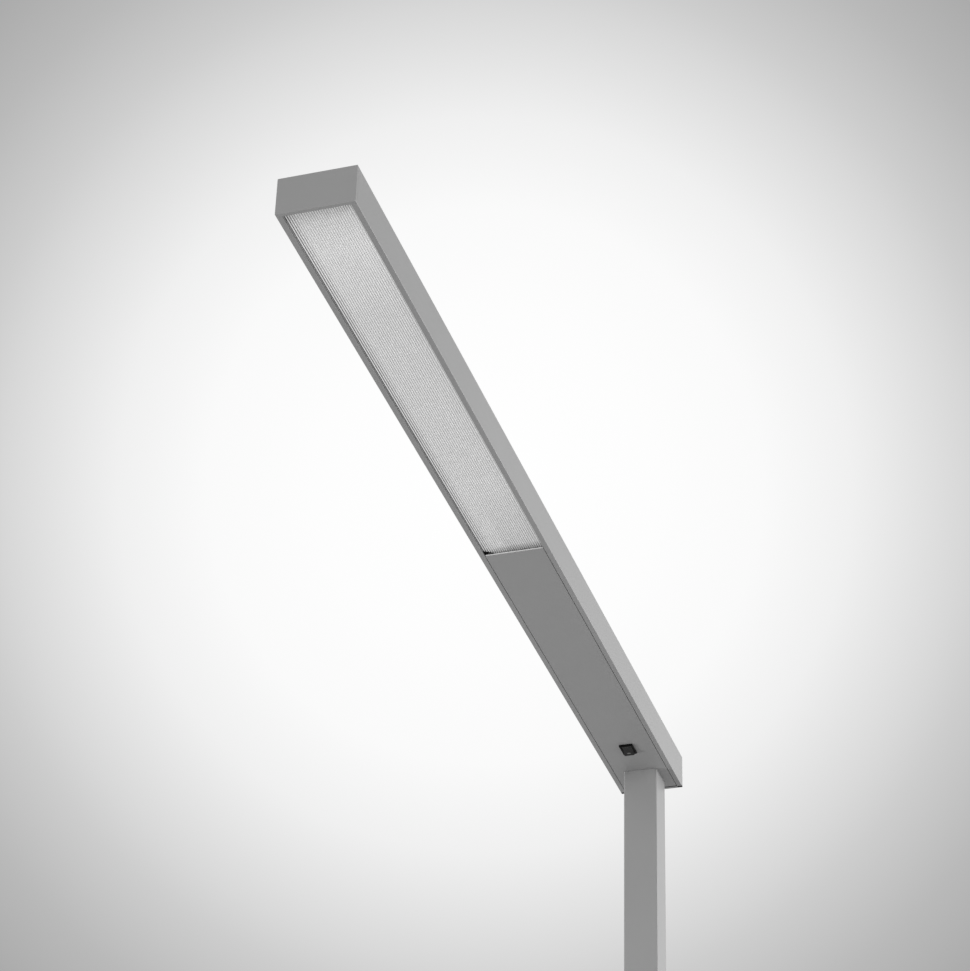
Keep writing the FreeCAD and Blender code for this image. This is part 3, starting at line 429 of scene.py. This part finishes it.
def acrylic(tree, bsdf):
    """Ribbed acrylic with painted light and shade: each rib is a lens, and its shading is painted in, bright on
    one flank and dark on the other.

    The painted shade of a rib is the square of (1 - cos turn) / 2, so that its dark line is narrow; it grows
    towards the left edge as a painted shadow of the left lip, and most in the outermost rib, beside the lip. The
    whole sheet darkens over its last millimetres before the cover plate, as painted shade where nothing behind it
    is lit. The faint emission is a painted glow that stands for the daylight coming through the sheet from behind.
    """
    place = node(tree, "ShaderNodeTexCoord").outputs["Object"]
    axes = node(tree, "ShaderNodeSeparateXYZ", {"Vector": place}).outputs
    along, across = axes["X"], axes["Y"]
    first_turn = 2 * math.pi * (rib_count / 2 - painted_highlight_share)
    turn = node(tree, "ShaderNodeMath",
                {"operation": "MULTIPLY_ADD", 0: across, 1: 2 * math.pi / rib_pitch, 2: first_turn})
    wave = node(tree, "ShaderNodeMath", {"operation": "COSINE", 0: turn.outputs[0]})
    dark = node(tree, "ShaderNodeMapRange",
                {"Value": wave.outputs[0], "From Min": -1.0, "From Max": 1.0, "To Min": 1.0, "To Max": 0.0})
    narrow = node(tree, "ShaderNodeMath", {"operation": "MULTIPLY", 0: dark.outputs[0], 1: dark.outputs[0]})
    # painted shadow of the left lip: the rib shade grows towards the left edge
    strength = node(tree, "ShaderNodeMapRange",
                    {"Value": across, "From Min": left_lip_painted_shadow_span[0], "From Max": left_lip_painted_shadow_span[1],
                     "To Min": left_lip_painted_shadow_strengths[0], "To Max": left_lip_painted_shadow_strengths[1]})
    # painted shade in the outermost rib, beside the left lip
    edge = node(tree, "ShaderNodeMapRange",
                {"Value": across, "From Min": lip_corner_painted_shade[0], "From Max": lip_corner_painted_shade[1],
                 "To Min": 1.0, "To Max": 0.0})
    both = node(tree, "ShaderNodeMath", {"operation": "ADD", 0: strength.outputs[0], 1: edge.outputs[0]})
    rib = node(tree, "ShaderNodeMath", {"operation": "MULTIPLY", 0: narrow.outputs[0], 1: both.outputs[0]})
    cover_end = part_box("cover_plate")[1].x
    # painted shade over the sheet's last millimetres before the cover plate
    end = node(tree, "ShaderNodeMapRange",
               {"Value": along, "From Min": cover_end, "From Max": cover_end + painted_end_shade,
                "To Min": painted_end_shade_share, "To Max": 0.0})
    share = node(tree, "ShaderNodeMath",
                 {"operation": "ADD", "use_clamp": True, 0: rib.outputs[0], 1: end.outputs[0]})
    # painted light and shade: white on the lit flank of a rib, grey on its shaded flank
    painted_rib_shading = node(tree, "ShaderNodeMix",
                  {"data_type": "RGBA", 0: share.outputs[0], 6: colour("#ffffff"), 7: colour("#585858")})
    for socket in ("Base Color", "Emission Color"):
        tree.links.new(painted_rib_shading.outputs[2], bsdf.inputs[socket])
    surface(tree, bsdf, grain(tree, 1.4, (0.02, 1, 1)), roughness=(0.42, 0.5))


# the emission is a painted glow: the sheet shines faintly in its painted rib colours, though no lamp lights it
# from behind
ribbed_acrylic_painted_light = finish("ribbed_acrylic_painted_light", {"IOR": 1.49, "Emission Strength": 0.1}, acrylic)


def opal(tree, bsdf):
    """Satin opal acrylic: white all through, slightly uneven in gloss."""
    surface(tree, bsdf, grain(tree, 3.0), colours=("#f2f2f0", "#ecece9"), roughness=(0.42, 0.52))


opal_acrylic = finish("opal_acrylic", {"IOR": 1.49, "Subsurface Weight": 0.2, "Subsurface Scale": 0.003,
                                       "Subsurface Radius": (1.0, 1.0, 1.0)}, opal)


def moulded(name, first, second, rough, grain_mm=0.35, depth_mm=0.02, specular=0.5):
    """Moulded plastic with a spark-eroded grain, which breaks the gloss into fine points."""
    def build(tree, bsdf):
        spark = grain(tree, grain_mm)
        surface(tree, bsdf, spark, (first, second), (rough - 0.06, rough + 0.06), (depth_mm, 0.4))
    return finish(name, {"IOR": 1.5, "Specular IOR Level": specular}, build)


black_nylon = moulded("black_nylon", "#050505", "#0a0a0a", 0.45, specular=0.08)
rocker_plastic = moulded("rocker_polycarbonate", "#181818", "#222222", 0.30, 0.5, 0.008, specular=0.35)
black_rubber = moulded("black_rubber", "#040404", "#080808", 0.6, specular=0.05)
white_nylon = moulded("white_nylon", "#dedcd6", "#d2d0ca", 0.5)
driver_case = moulded("driver_case_polycarbonate", "#e2e2df", "#d8d8d5", 0.45)
lead_sheath = moulded("lead_sheath_pvc", "#131313", "#1b1b1b", 0.5, grain_mm=0.8)
wire_pvc = moulded("wire_pvc", "#5a5c60", "#66686c", 0.35, grain_mm=1.0, depth_mm=0.005)
earth_pvc = moulded("earth_wire_pvc", "#7da321", "#d9c22a", 0.35, grain_mm=4.0, depth_mm=0.005)
mark_paint = moulded("grey_mark_paint", "#828280", "#7a7a78", 0.5, grain_mm=0.3, depth_mm=0.004)


def foam(tree, bsdf):
    """Closed-cell foam rubber with 0.8 mm cells."""
    place = node(tree, "ShaderNodeTexCoord").outputs["Object"]
    cells = node(tree, "ShaderNodeTexVoronoi", {"Scale": 1 / (0.8 * MM), "Vector": place})
    surface(tree, bsdf, cells.outputs["Distance"], colours=("#101010", "#232323"), relief=(0.08, 0.5))


foam_rubber = finish("foam_rubber_pad", {"Roughness": 0.9}, foam)


def metal(name, first, second, rough, stretch=(1, 1, 1), scale_mm=0.4):
    """Bare or plated metal with fine tool marks."""
    def build(tree, bsdf):
        marks = grain(tree, scale_mm, stretch, detail=3.0)
        surface(tree, bsdf, marks, (first, second), (rough - 0.07, rough + 0.07), (0.006, 0.4))
    return finish(name, {"Metallic": 1.0}, build)


zinc = metal("zinc_plated_steel", "#b9bcbf", "#a9acb0", 0.3)
milled = metal("milled_aluminium", "#c4c5c7", "#b6b7ba", 0.35, (0.1, 1, 1), 0.8)
brass = metal("stamped_brass", "#d0a552", "#c1954a", 0.28)
spring_wire = metal("spring_steel", "#a5a6a8", "#97989a", 0.3)
nickel = metal("nickel_plate", "#c9c4ba", "#bdb8ae", 0.22)


def solder_mask(tree, bsdf):
    """White solder mask over the weave of the board."""
    surface(tree, bsdf, grain(tree, 0.7, detail=1.0), colours=("#f3f3ef", "#eaeae5"), relief=(0.01, 0.3))


board_mask = finish("white_solder_mask", {"Roughness": 0.35}, solder_mask)


def phosphor(tree, bsdf):
    """Yellow phosphor under clear resin."""
    surface(tree, bsdf, grain(tree, 0.3), colours=("#f0d878", "#e6c860"))


led_resin = finish("led_phosphor", {"Roughness": 0.2, "Coat Weight": 0.6, "Coat Roughness": 0.1}, phosphor)


# ---- pieces of the head ----

def make_profile():
    """The extrusion: one outline (y, z), anticlockwise, carried along the head.

    The points of the right side run from the web's underside round both lips to its upper face, and the
    left side mirrors them.
    """
    inner = head_half - wall
    mouth = head_half - lip_width
    ledge = inner - ledge_width
    lip_top = head_bottom + lip_thickness
    upper_lip = head_top - upper_lip_thickness
    right = [(inner, web_low, 0), (inner, lip_top, 0), (mouth, lip_top, lip_edge),
             (mouth, head_bottom, lip_edge), (head_half, head_bottom, profile_edge),
             (head_half, head_top, profile_edge), (mouth, head_top, lip_edge), (mouth, upper_lip, lip_edge),
             (inner, upper_lip, 0), (inner, ledge_high, 0), (ledge, ledge_high, 0), (ledge, ledge_low, 0),
             (inner, ledge_low, 0), (inner, web_high, 0)]
    left = [(-y, z, radius) for y, z, radius in right[::-1]]
    corners = np.array(right + left)
    section = outline(corners[:, :2], corners[:, 2], 4)
    piece = mesh_object("profile_skin", *bar(section, (profile_low.x, profile_high.x), along_x))
    return dress(piece, ["head_profile"], "root", aluminium_head)


def make_cap(name, low_x, high_x):
    """Blank end plate: a slab with small rounded rims."""
    half_height = (head_top - head_bottom) / 2
    middle = (0, (head_bottom + head_top) / 2)
    points, faces = slab(head_half, half_height, profile_edge, low_x, high_x, cap_edge, middle, "x")
    return mesh_object(name, points, faces)


def make_front_cap():
    """The blank plate at the free end."""
    piece = make_cap("front_end_cap", profile_high.x, head_front)
    return dress(piece, ["front_cap"], "root", aluminium_head)


def make_rear_cap():
    """The rear plate's lower corners are notched beside the lips."""
    piece = make_cap("rear_end_cap", head_rear, profile_low.x)
    margin = 1.0 * MM
    deep, open_end = profile_low.x - cap_notch_depth, profile_low.x + margin
    near, beyond = head_half - lip_width, head_half + margin
    for y0, y1 in ((near, beyond), (-beyond, -near)):
        notch = [(deep, y0), (open_end, y0), (open_end, y1), (deep, y1)]
        cut_out(piece, notch, head_bottom - margin, head_bottom + cap_notch_height)
    return dress(piece, ["rear_cap"], "root", aluminium_head)


def make_rear_seal():
    """Rubber strip between the rear cap and the cover plate, and a black plug in each notch of the cap as painted
    shade where the lips end.
    """
    plate_low, plate_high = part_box("cover_plate")
    edge = 0.05 * MM
    strip_end = plate_low.x - seal_clearance
    strip_middle = ((profile_low.x + strip_end) / 2, 0)
    strip_half = (strip_end - profile_low.x) / 2
    parts = [slab(strip_half, plate_high.y, edge, head_bottom + seal_inset, plate_high.z, edge, strip_middle)]
    # black plugs in the notches: painted shade at the ends of the lips
    near, beyond = head_half - lip_width, head_half - seal_clearance
    plug_low, plug_high = head_bottom + seal_clearance, head_bottom + cap_notch_height
    for side in (-1, 1):
        middle = (profile_low.x - cap_notch_depth / 2, side * (near + beyond) / 2)
        parts.append(slab(cap_notch_depth / 2, (beyond - near) / 2, edge, plug_low, plug_high, edge, middle))
    piece = mesh_object("rear_strip_and_shade_plugs", *join_parts(parts))
    return dress(piece, ["rear_seal"], "root", black_rubber)


def make_diffuser():
    """Sheet with arc-shaped ribs along its length and its rear left corner clipped.

    Across a rib the lower face is at rest - height * (1 - (2t - 1)^2), with t from 0 to 1.
    """
    low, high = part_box("ribbed_diffuser")
    rest = head_bottom + lip_thickness
    steps = 8
    stretches = 4
    rib_degrees = 40
    t = np.arange(rib_count * steps + 1) / steps
    y = (t - rib_count / 2) * rib_pitch
    z = rest - rib_height * (1 - (2 * (t % 1) - 1) ** 2)
    ribs = np.column_stack([y, z])
    section = np.concatenate([[(low.y, rest)], ribs, [(high.y, rest), (high.y, high.z), (low.y, high.z)]])
    points, faces = bar(section, np.linspace(low.x, high.x, stretches + 1), along_x)
    piece = mesh_object("ribbed_lens", points, faces, rib_degrees)
    margin = 1.0 * MM
    reach = 1 + margin / clip_x
    corner = [(low.x - margin, low.y - margin), (low.x + clip_x * reach, low.y - margin),
              (low.x - margin, low.y + clip_y * reach)]
    cut_out(piece, corner, head_bottom, high.z + margin, rib_degrees)
    return dress(piece, ["ribbed_diffuser"], "root", ribbed_acrylic_painted_light)


def make_cover():
    """Flat cover with openings for the neck of the head block and for the switch."""
    low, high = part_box("cover_plate")
    neck = 17.3 * MM
    switch_x = 10.45 * MM
    switch_y = 7.15 * MM
    xs = [low.x, -neck, neck, switch_middle - switch_x, switch_middle + switch_x, high.x]
    ys = [low.y, -neck, -switch_y, switch_y, neck, high.y]
    neck_cells = [(1, 1), (1, 2), (1, 3)]
    switch_cell = (3, 2)
    piece = mesh_object("cover_sheet", *pierced_sheet(xs, ys, neck_cells + [switch_cell], low.z, high.z))
    bevelled(piece, sheet_edge)
    return dress(piece, ["cover_plate"], "root", aluminium_head)


def make_bare_edge_highlight():
    """The cover's front end is cut after anodising and shows bare metal: a thin near-white strip laid over it,
    partly bare metal and partly a painted highlight on the edge that faces the light.
    """
    low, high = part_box("cover_plate")
    skin = 0.04 * MM
    inset = 0.12 * MM
    corner = 0.05 * MM
    edge = 0.01 * MM
    half_width = high.y - sheet_edge
    half_height = (high.z - low.z) / 2 - inset
    middle = (0, (low.z + high.z) / 2)
    points, faces = slab(half_width, half_height, corner, high.x - skin, high.x + skin / 2, edge, middle, "x")
    return dress(mesh_object("cover_bare_edge_highlight", points, faces), [], "root", bare_cut_edge_highlight)


def make_upper_cover():
    """Opal sheet over the upper light."""
    low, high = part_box("upper_cover")
    half_length = (high.x - low.x) / 2
    corner = 0.4 * MM
    edge = 0.3 * MM
    middle = ((low.x + high.x) / 2, 0)
    piece = mesh_object("opal_sheet", *slab(half_length, high.y, corner, low.z, high.z, edge, middle))
    return dress(piece, ["upper_cover"], "root", opal_acrylic)


# ---- pieces of the stand ----

def make_mast():
    """Square tube: rounded outer edges, closed at both ends by a narrow rim round the bore."""
    rim = 0.3 * MM
    bore_edge = 0.3 * MM
    bore_half = mast_half - mast_wall
    corner_steps = 8
    outer = rectangle(mast_half, mast_half, mast_edge, corner_steps)
    drawn_in = outer * ((mast_half - rim) / mast_half)
    inner = rectangle(bore_half, bore_half, bore_edge, corner_steps)
    rings = [upright(drawn_in, mast_low.z), upright(outer, mast_low.z + rim),
             upright(outer, mast_high.z - rim), upright(drawn_in, mast_high.z),
             upright(inner, mast_high.z), upright(inner, mast_low.z)]
    count = len(outer)
    ring = np.arange(count)
    faces = []
    for k in range(len(rings)):
        a = k * count + ring
        b = ((k + 1) % len(rings)) * count + ring
        faces += np.stack([a, np.roll(a, -1), np.roll(b, -1), b], 1).tolist()
    piece = mesh_object("mast_tube", np.concatenate(rings), faces)
    return dress(piece, ["mast"], "root", aluminium_mast)


def make_foot_sheet(name, node_name, edge, material):
    """Flat sheet with rounded corners under the mast."""
    low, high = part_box(node_name)
    half_length = (high.x - low.x) / 2
    middle = ((low.x + high.x) / 2, 0)
    points, faces = slab(half_length, high.y, foot_corner, low.z, high.z, edge, middle, corner_steps=10)
    return dress(mesh_object(name, points, faces), [node_name], "root", material)


def make_bushing():
    """Flanged ring with rounded rims; the lead passes through it."""
    low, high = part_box("cable_bushing")
    middle = (low + high) / 2
    radius = (high.z - low.z) / 2
    depth = high.x - low.x
    bore = 3.35 * MM
    flange = 2.0 * MM
    neck_radius = 6.0 * MM
    neck_end = 4.5 * MM
    barb_radius = 7.0 * MM
    rim_edge = 1.2 * MM
    bore_edge = 0.6 * MM
    turn = np.linspace(0, math.pi / 2, 6)
    rim = [(radius - rim_edge * (1 - math.cos(t)), rim_edge * (1 - math.sin(t))) for t in turn]
    lip = [(bore + bore_edge * (1 - math.sin(t)), bore_edge * (1 - math.cos(t))) for t in turn]
    barb = [(bore, depth), (barb_radius, depth), (barb_radius, neck_end), (neck_radius, neck_end)]
    profile = barb + [(neck_radius, flange), (radius, flange)] + rim + lip + [(bore, depth)]
    piece = mesh_object("bushing_ring", *lathe(profile, (low.x, middle.y, middle.z), (1, 0, 0)))
    return dress(piece, ["cable_bushing"], "root", black_nylon)


def make_screws(name, node_name):
    """Two button-head screws with a domed head and a six-sided socket.

    The dome at angle t has the radius head_radius * cos(t)^0.8, and its height goes with sin(t).
    """
    low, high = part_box(node_name)
    middle_z = (low.z + high.z) / 2
    half_spacing = 9.0 * MM
    thread_radius = 2.5 * MM
    thread_end = -10.0 * MM
    head_radius = 4.6 * MM
    head_height = 2.6 * MM
    socket = 1.75 * MM
    chamfer = 0.1 * MM
    socket_end = head_height - 1.5 * MM
    cone_end = head_height - 1.9 * MM
    turn = np.linspace(0, 0.42 * math.pi, 8)
    dome = [(head_radius * math.cos(t) ** 0.8, head_height * math.sin(t) / math.sin(turn[-1])) for t in turn]
    mouth = (socket + chamfer, head_height)
    body = [(0, thread_end), (thread_radius, thread_end), (thread_radius, 0)] + dome + [mouth]
    hexagon = [mouth, (socket, head_height - chamfer), (socket, socket_end), (0, cone_end)]
    parts = []
    for y in (-half_spacing, half_spacing):
        seat = (-mast_half, y, middle_z)
        parts += [lathe(body, seat, (-1, 0, 0), 48), lathe(hexagon, seat, (-1, 0, 0), 6)]
    return dress(mesh_object(name, *join_parts(parts)), [node_name], "root", zinc)


# ---- switch ----

def make_bezel():
    """Frame of the switch, from rings (half length, half width, corner, height).

    They run from the roof down the shell, over the sloping rim and the face, and up the throat to the
    underside of the roof.
    """
    low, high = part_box("switch_housing")
    half_x = (high.x - low.x) / 2
    half_y = (high.y - low.y) / 2
    face = low.z
    roof = high.z
    thickness = 1.0 * MM
    slope = 0.9 * MM
    shell_x, shell_y = 10.35 * MM, 7.05 * MM
    throat_x, throat_y = 9.35 * MM, 6.05 * MM
    wall_corner = 0.3 * MM
    rim_corner = 0.5 * MM
    mouth_corner = 0.4 * MM
    shoulder = 0.2 * MM
    shoulder_drop = 0.35 * MM
    face_edge = 0.1 * MM
    face_drop = 0.08 * MM
    mouth_edge = 0.15 * MM
    inner_edge = slope + face_edge
    rings = [(shell_x, shell_y, wall_corner, roof), (shell_x, shell_y, wall_corner, head_bottom),
             (half_x, half_y, rim_corner, head_bottom), (half_x, half_y, rim_corner, face + slope),
             (half_x - shoulder, half_y - shoulder, rim_corner, face + slope - shoulder_drop),
             (half_x - slope, half_y - slope, rim_corner, face + face_drop),
             (half_x - inner_edge, half_y - inner_edge, rim_corner, face),
             (throat_x + mouth_edge, throat_y + mouth_edge, mouth_corner, face),
             (throat_x, throat_y, wall_corner, face + mouth_edge),
             (throat_x, throat_y, wall_corner, roof - thickness)]
    centre = (switch_middle, 0.0)
    sections = [upright(rectangle(a, b, corner, 4, centre), height) for a, b, corner, height in rings]
    count = len(sections[0])
    ring = np.arange(count)
    faces = []
    for k in range(len(rings) - 1):
        a = k * count + ring
        b = a + count
        faces += np.stack([np.roll(a, -1), a, b, np.roll(b, -1)], 1).tolist()
    faces.append(list(map(int, ring)))
    faces.append(list(map(int, (len(rings) - 1) * count + ring[::-1])))
    piece = mesh_object("switch_bezel", np.concatenate(sections), faces, 35)
    return dress(piece, ["switch_housing"], "root", black_nylon)


def rocker_outline():
    """Side view (x, z) of the rocker about its axis, at mid throw: two flat faces, round ends, flat back.

    Each face leaves the valley at half the throw and meets the round end, a circle about the axis, where
    (1 + slope^2) x^2 + 2 valley slope x + valley^2 = reach^2.
    """
    reach = 9.2 * MM
    back = 1.6 * MM
    slope = math.tan(rocker_half_throw)
    a = 1 + slope ** 2
    b = rocker_valley * slope
    end_x = (-b + math.sqrt(b ** 2 - a * (rocker_valley ** 2 - reach ** 2))) / a
    start = math.atan2(-(rocker_valley + end_x * slope), end_x)
    stop = math.asin(back / reach)
    arc = np.linspace(start, stop, 14)
    right = np.column_stack([np.cos(arc), np.sin(arc)]) * reach
    left = right[::-1] * (-1, 1)
    return np.concatenate([right, left, [(0.0, -rocker_valley)]])


def tilted(points, angle):
    """Turns points about the rocker's axis by radians; a positive angle lowers the end away from the mast."""
    turn = Matrix.Rotation(angle, 3, "Y")
    centre = np.array(rocker_axis)
    return (np.asarray(points) - centre) @ np.array(turn).T + centre


def make_rocker():
    """The rocker's side view carried across, with both rims drawn in a little, and its trunnions and boss."""
    side = rocker_outline()
    half_width = 5.9 * MM
    soft = 0.25 * MM
    knee = 0.3 * soft
    pin_radius = 0.8 * MM
    pin_reach = 6.9 * MM
    boss_radius = 2.2 * MM
    boss_bore = 1.5 * MM
    boss_low = 1.2 * MM
    bore_low = 3.2 * MM
    boss_high = 5.0 * MM
    stations = [(-half_width, soft), (-half_width + knee, knee), (-half_width + soft, 0),
                (half_width - soft, 0), (half_width - knee, knee), (half_width, soft)]
    centre = side.mean(0)

    def place(section, station):
        y, inset = station
        inward = centre - section
        inward /= np.linalg.norm(inward, axis=1)[:, None]
        x, z = (section + inward * inset).T
        return np.column_stack([x + rocker_axis.x, np.full(len(section), y), z + rocker_axis.z])

    cap = bar(side[::-1], stations, place)
    pins = lathe([(0, 0), (pin_radius, 0), (pin_radius, 2 * pin_reach), (0, 2 * pin_reach)],
                 (rocker_axis.x, -pin_reach, rocker_axis.z), (0, 1, 0), 24)
    boss = lathe([(0, boss_low), (boss_radius, boss_low), (boss_radius, boss_high), (boss_bore, boss_high),
                  (boss_bore, bore_low), (0, bore_low)], tuple(rocker_axis), (0, 0, 1), 32)
    points, faces = join_parts([cap, pins, boss])
    piece = mesh_object("rocker_cap", tilted(points, -rocker_half_throw), faces, 35)
    return dress(piece, ["switch_rocker"], "switch_rocker", rocker_plastic)


def on_rocker_face(points, side):
    """Lays a mark, made flat about the origin, on a face of the rocker at rest.

    Side -1 is the face by the mast, and 1 the other.
    """
    distance = 5.6 * MM
    lean = np.array(Matrix.Rotation(side * rocker_half_throw, 3, "Y"))
    laid = (points + np.array([side * distance, 0, 0])) @ lean.T + np.array([0, 0, -rocker_valley])
    return tilted(laid + np.array(rocker_axis), -rocker_half_throw)


def make_marks():
    """A painted bar on the face by the mast and a moulded ring on the other, both a little raised."""
    raised = 0.05 * MM
    sunk = 0.1 * MM
    half_thick, half_long = 0.5 * MM, 2.0 * MM
    corner = 0.35 * MM
    edge = 0.03 * MM
    points, faces = slab(half_thick, half_long, corner, -raised, sunk, edge)
    mark = mesh_object("mark_bar", on_rocker_face(points, -1), faces)
    dress(mark, [], "switch_rocker", mark_paint)
    inner, outer = 1.5 * MM, 2.1 * MM
    ring = [(inner, sunk), (outer, sunk), (outer, -raised), (inner, -raised), (inner, sunk)]
    points, faces = lathe(ring, (0, 0, 0), (0, 0, 1), 40)
    mark = mesh_object("mark_ring", on_rocker_face(points, 1), faces)
    dress(mark, [], "switch_rocker", rocker_plastic)


# ---- all visible pieces ----

make_profile()
make_front_cap()
make_rear_cap()
make_rear_seal()
make_diffuser()
make_cover()
make_bare_edge_highlight()
make_upper_cover()
make_mast()
make_foot_sheet("base_slab", "base_plate", base_edge, powder_coat)
make_foot_sheet("pad_sheet", "base_pad", pad_edge, foam_rubber)
make_bushing()
make_screws("foot_button_screws", "foot_screws")
make_screws("head_button_screws", "head_block_screws")
make_bezel()
make_rocker()
make_marks()

# ---- finishes of the CAD nodes that keep their own mesh ----

slot_materials = {
    "zinc_steel": zinc, "machined_aluminium": milled, "black_plastic": black_nylon,
    "rocker_plastic": rocker_plastic, "white_plastic": white_nylon, "lead_sheath": lead_sheath,
    "wire_insulation": wire_pvc, "earth_insulation": earth_pvc, "board_white": board_mask,
    "led_package": led_resin, "contact_brass": brass, "spring_steel": spring_wire, "magnet_nickel": nickel,
    "silver_anodised": aluminium_head, "silver_powder": powder_coat, "floor_pad": foam_rubber,
    "ribbed_clear": ribbed_acrylic_painted_light, "opal_acrylic": opal_acrylic, "seal_rubber": black_rubber,
}
for part in frame["record"]["subparts"]:
    cad = frame["nodes"][part["node"]]
    material = driver_case if part["node"] == "led_driver" else slot_materials[part["material_slot"]]
    cad.data.materials.clear()
    cad.data.materials.append(material)

# ---- floor, light and camera ----

scene = bpy.context.scene
scene.view_settings.view_transform = "Standard"

# the camera, fitted to the lamp's edges in the photograph: place in metres, aim, lens in millimetres
camera_place = Vector((2.9284, 0.7630, 0.3792))
camera_heading = math.radians(-161.6022)
camera_pitch = math.radians(32.6554)
camera_roll = math.radians(1.8150)
camera_lens = 105.118
camera_sensor = 36.0


def aim(heading, pitch, roll):
    """Camera axes from heading about Z, pitch above the horizon and roll about the line of sight."""
    flat = math.cos(pitch)
    ahead = Vector((flat * math.cos(heading), flat * math.sin(heading), math.sin(pitch)))
    level = ahead.cross(Vector((0, 0, 1))).normalized()
    up = level.cross(ahead)
    right = level * math.cos(roll) + up * math.sin(roll)
    return ahead, right, right.cross(ahead)


ahead, right, up = aim(camera_heading, camera_pitch, camera_roll)
camera = bpy.data.objects.new("camera", bpy.data.cameras.new("camera"))
scene.collection.objects.link(camera)
scene.camera = camera
camera.data.lens = camera_lens
camera.data.sensor_width = camera_sensor
camera.data.clip_end = 100.0
camera.matrix_world = Matrix.Translation(camera_place) @ Matrix((right, up, -ahead)).transposed().to_4x4()


def make_floor():
    """Pale floor under the lamp."""
    mesh = bpy.data.meshes.new("floor")
    reach = 12.0
    corners = [(-reach, -reach, 0), (reach, -reach, 0), (reach, reach, 0), (-reach, reach, 0)]
    mesh.from_pydata(corners, [], [(0, 1, 2, 3)])
    floor = bpy.data.objects.new("floor", mesh)
    scene.collection.objects.link(floor)
    floor.data.materials.append(finish("pale_floor", {"Base Color": colour("#d8d8d8"), "Roughness": 0.8}))


def ramp_of(tree, value, low, high, stops):
    """Greys over a range of values; each stop is (value, sRGB grey from 0 to 255)."""
    share = node(tree, "ShaderNodeMapRange", {"Value": value, "From Min": low, "From Max": high})
    ramp = node(tree, "ShaderNodeValToRGB", {"Fac": share.outputs["Result"]})
    elements = ramp.color_ramp.elements
    while len(elements) < len(stops):
        elements.new(0.5)
    for element, (place, grey) in zip(elements, sorted(stops)):
        element.position = (place - low) / (high - low)
        element.color = colour("#" + f"{grey:02x}" * 3)
    return ramp.outputs["Color"]


def degrees_from(tree, way):
    """Angle in degrees between a ray's direction and another."""
    place = node(tree, "ShaderNodeTexCoord").outputs["Generated"]
    way = tuple(Vector(way).normalized())
    dot = node(tree, "ShaderNodeVectorMath", {"operation": "DOT_PRODUCT", 0: place, 1: way})
    angle = node(tree, "ShaderNodeMath", {"operation": "ARCCOSINE", 0: dot.outputs["Value"]})
    return node(tree, "ShaderNodeMath", {"operation": "DEGREES", 0: angle.outputs[0]}).outputs[0]


def make_world():
    """Studio: a white glow behind the head for the camera, one pale wall in the metal, even light besides."""
    world = bpy.data.worlds.new("studio")
    scene.world = world
    world.use_nodes = True
    tree = world.node_tree
    tree.nodes.clear()
    seen = ramp_of(tree, degrees_from(tree, ahead), 0.0, 30.0, backdrop_greys)
    mirrored = ramp_of(tree, degrees_from(tree, bright_wall), 0.0, 180.0, wall_greys)
    path = node(tree, "ShaderNodeLightPath").outputs
    shiny = node(tree, "ShaderNodeMath",
                 {"operation": "MAXIMUM", 0: path["Is Glossy Ray"], 1: path["Is Transmission Ray"]})
    white = (1.0, 1.0, 1.0, 1.0)
    even = node(tree, "ShaderNodeBackground", {"Color": white, "Strength": even_strength})
    glossy = node(tree, "ShaderNodeBackground", {"Color": mirrored, "Strength": 1.0})
    direct = node(tree, "ShaderNodeBackground", {"Color": seen, "Strength": 1.0})
    unseen = node(tree, "ShaderNodeMixShader",
                  {0: shiny.outputs[0], 1: even.outputs[0], 2: glossy.outputs[0]})
    whole = node(tree, "ShaderNodeMixShader",
                 {0: path["Is Camera Ray"], 1: unseen.outputs[0], 2: direct.outputs[0]})
    node(tree, "ShaderNodeOutputWorld", {"Surface": whole.outputs[0]})


def soft_lamp(name, place, target, size, power, spread_degrees=180.0):
    """A square area lamp aimed at a point; a narrow spread keeps its light off the floor nearby."""
    data = bpy.data.lights.new(name, "AREA")
    data.size = size
    data.energy = power
    data.spread = math.radians(spread_degrees)
    lamp = bpy.data.objects.new(name, data)
    lamp.location = place
    lamp.rotation_euler = (Vector(target) - Vector(place)).to_track_quat("-Z", "Y").to_euler()
    scene.collection.objects.link(lamp)


# greys of the backdrop by the angle from the line of sight, in degrees
backdrop_greys = [(0.0, 255), (3.5, 253), (5.6, 250), (7.4, 240), (8.9, 224), (9.6, 216), (10.4, 205),
                  (12.1, 185), (13.6, 171), (18.0, 196), (26.0, 224)]
# greys that the metal mirrors, by the angle from the middle of the pale wall
bright_wall = (-0.95, 0.25, 0.2)
wall_greys = [(0.0, 255), (20.0, 255), (34.0, 210), (70.0, 210), (100.0, 176), (180.0, 176)]
even_strength = 0.55

make_floor()
make_world()
# places, targets and sizes in metres, powers in watts
soft_lamp("front_softbox", (5.0, 1.5, 1.9), (0.6, 0.0, 1.9), 1.5, 59.5)
soft_lamp("left_softbox", (1.6, -4.2, 0.3), (0.4, 0.0, 1.9), 0.7, 15.5, 60.0)
soft_lamp("rear_softbox", (-0.9, 2.0, 1.9), (0.0, 0.0, 1.8), 1.2, 30.0)

bpy.context.view_layer.update()
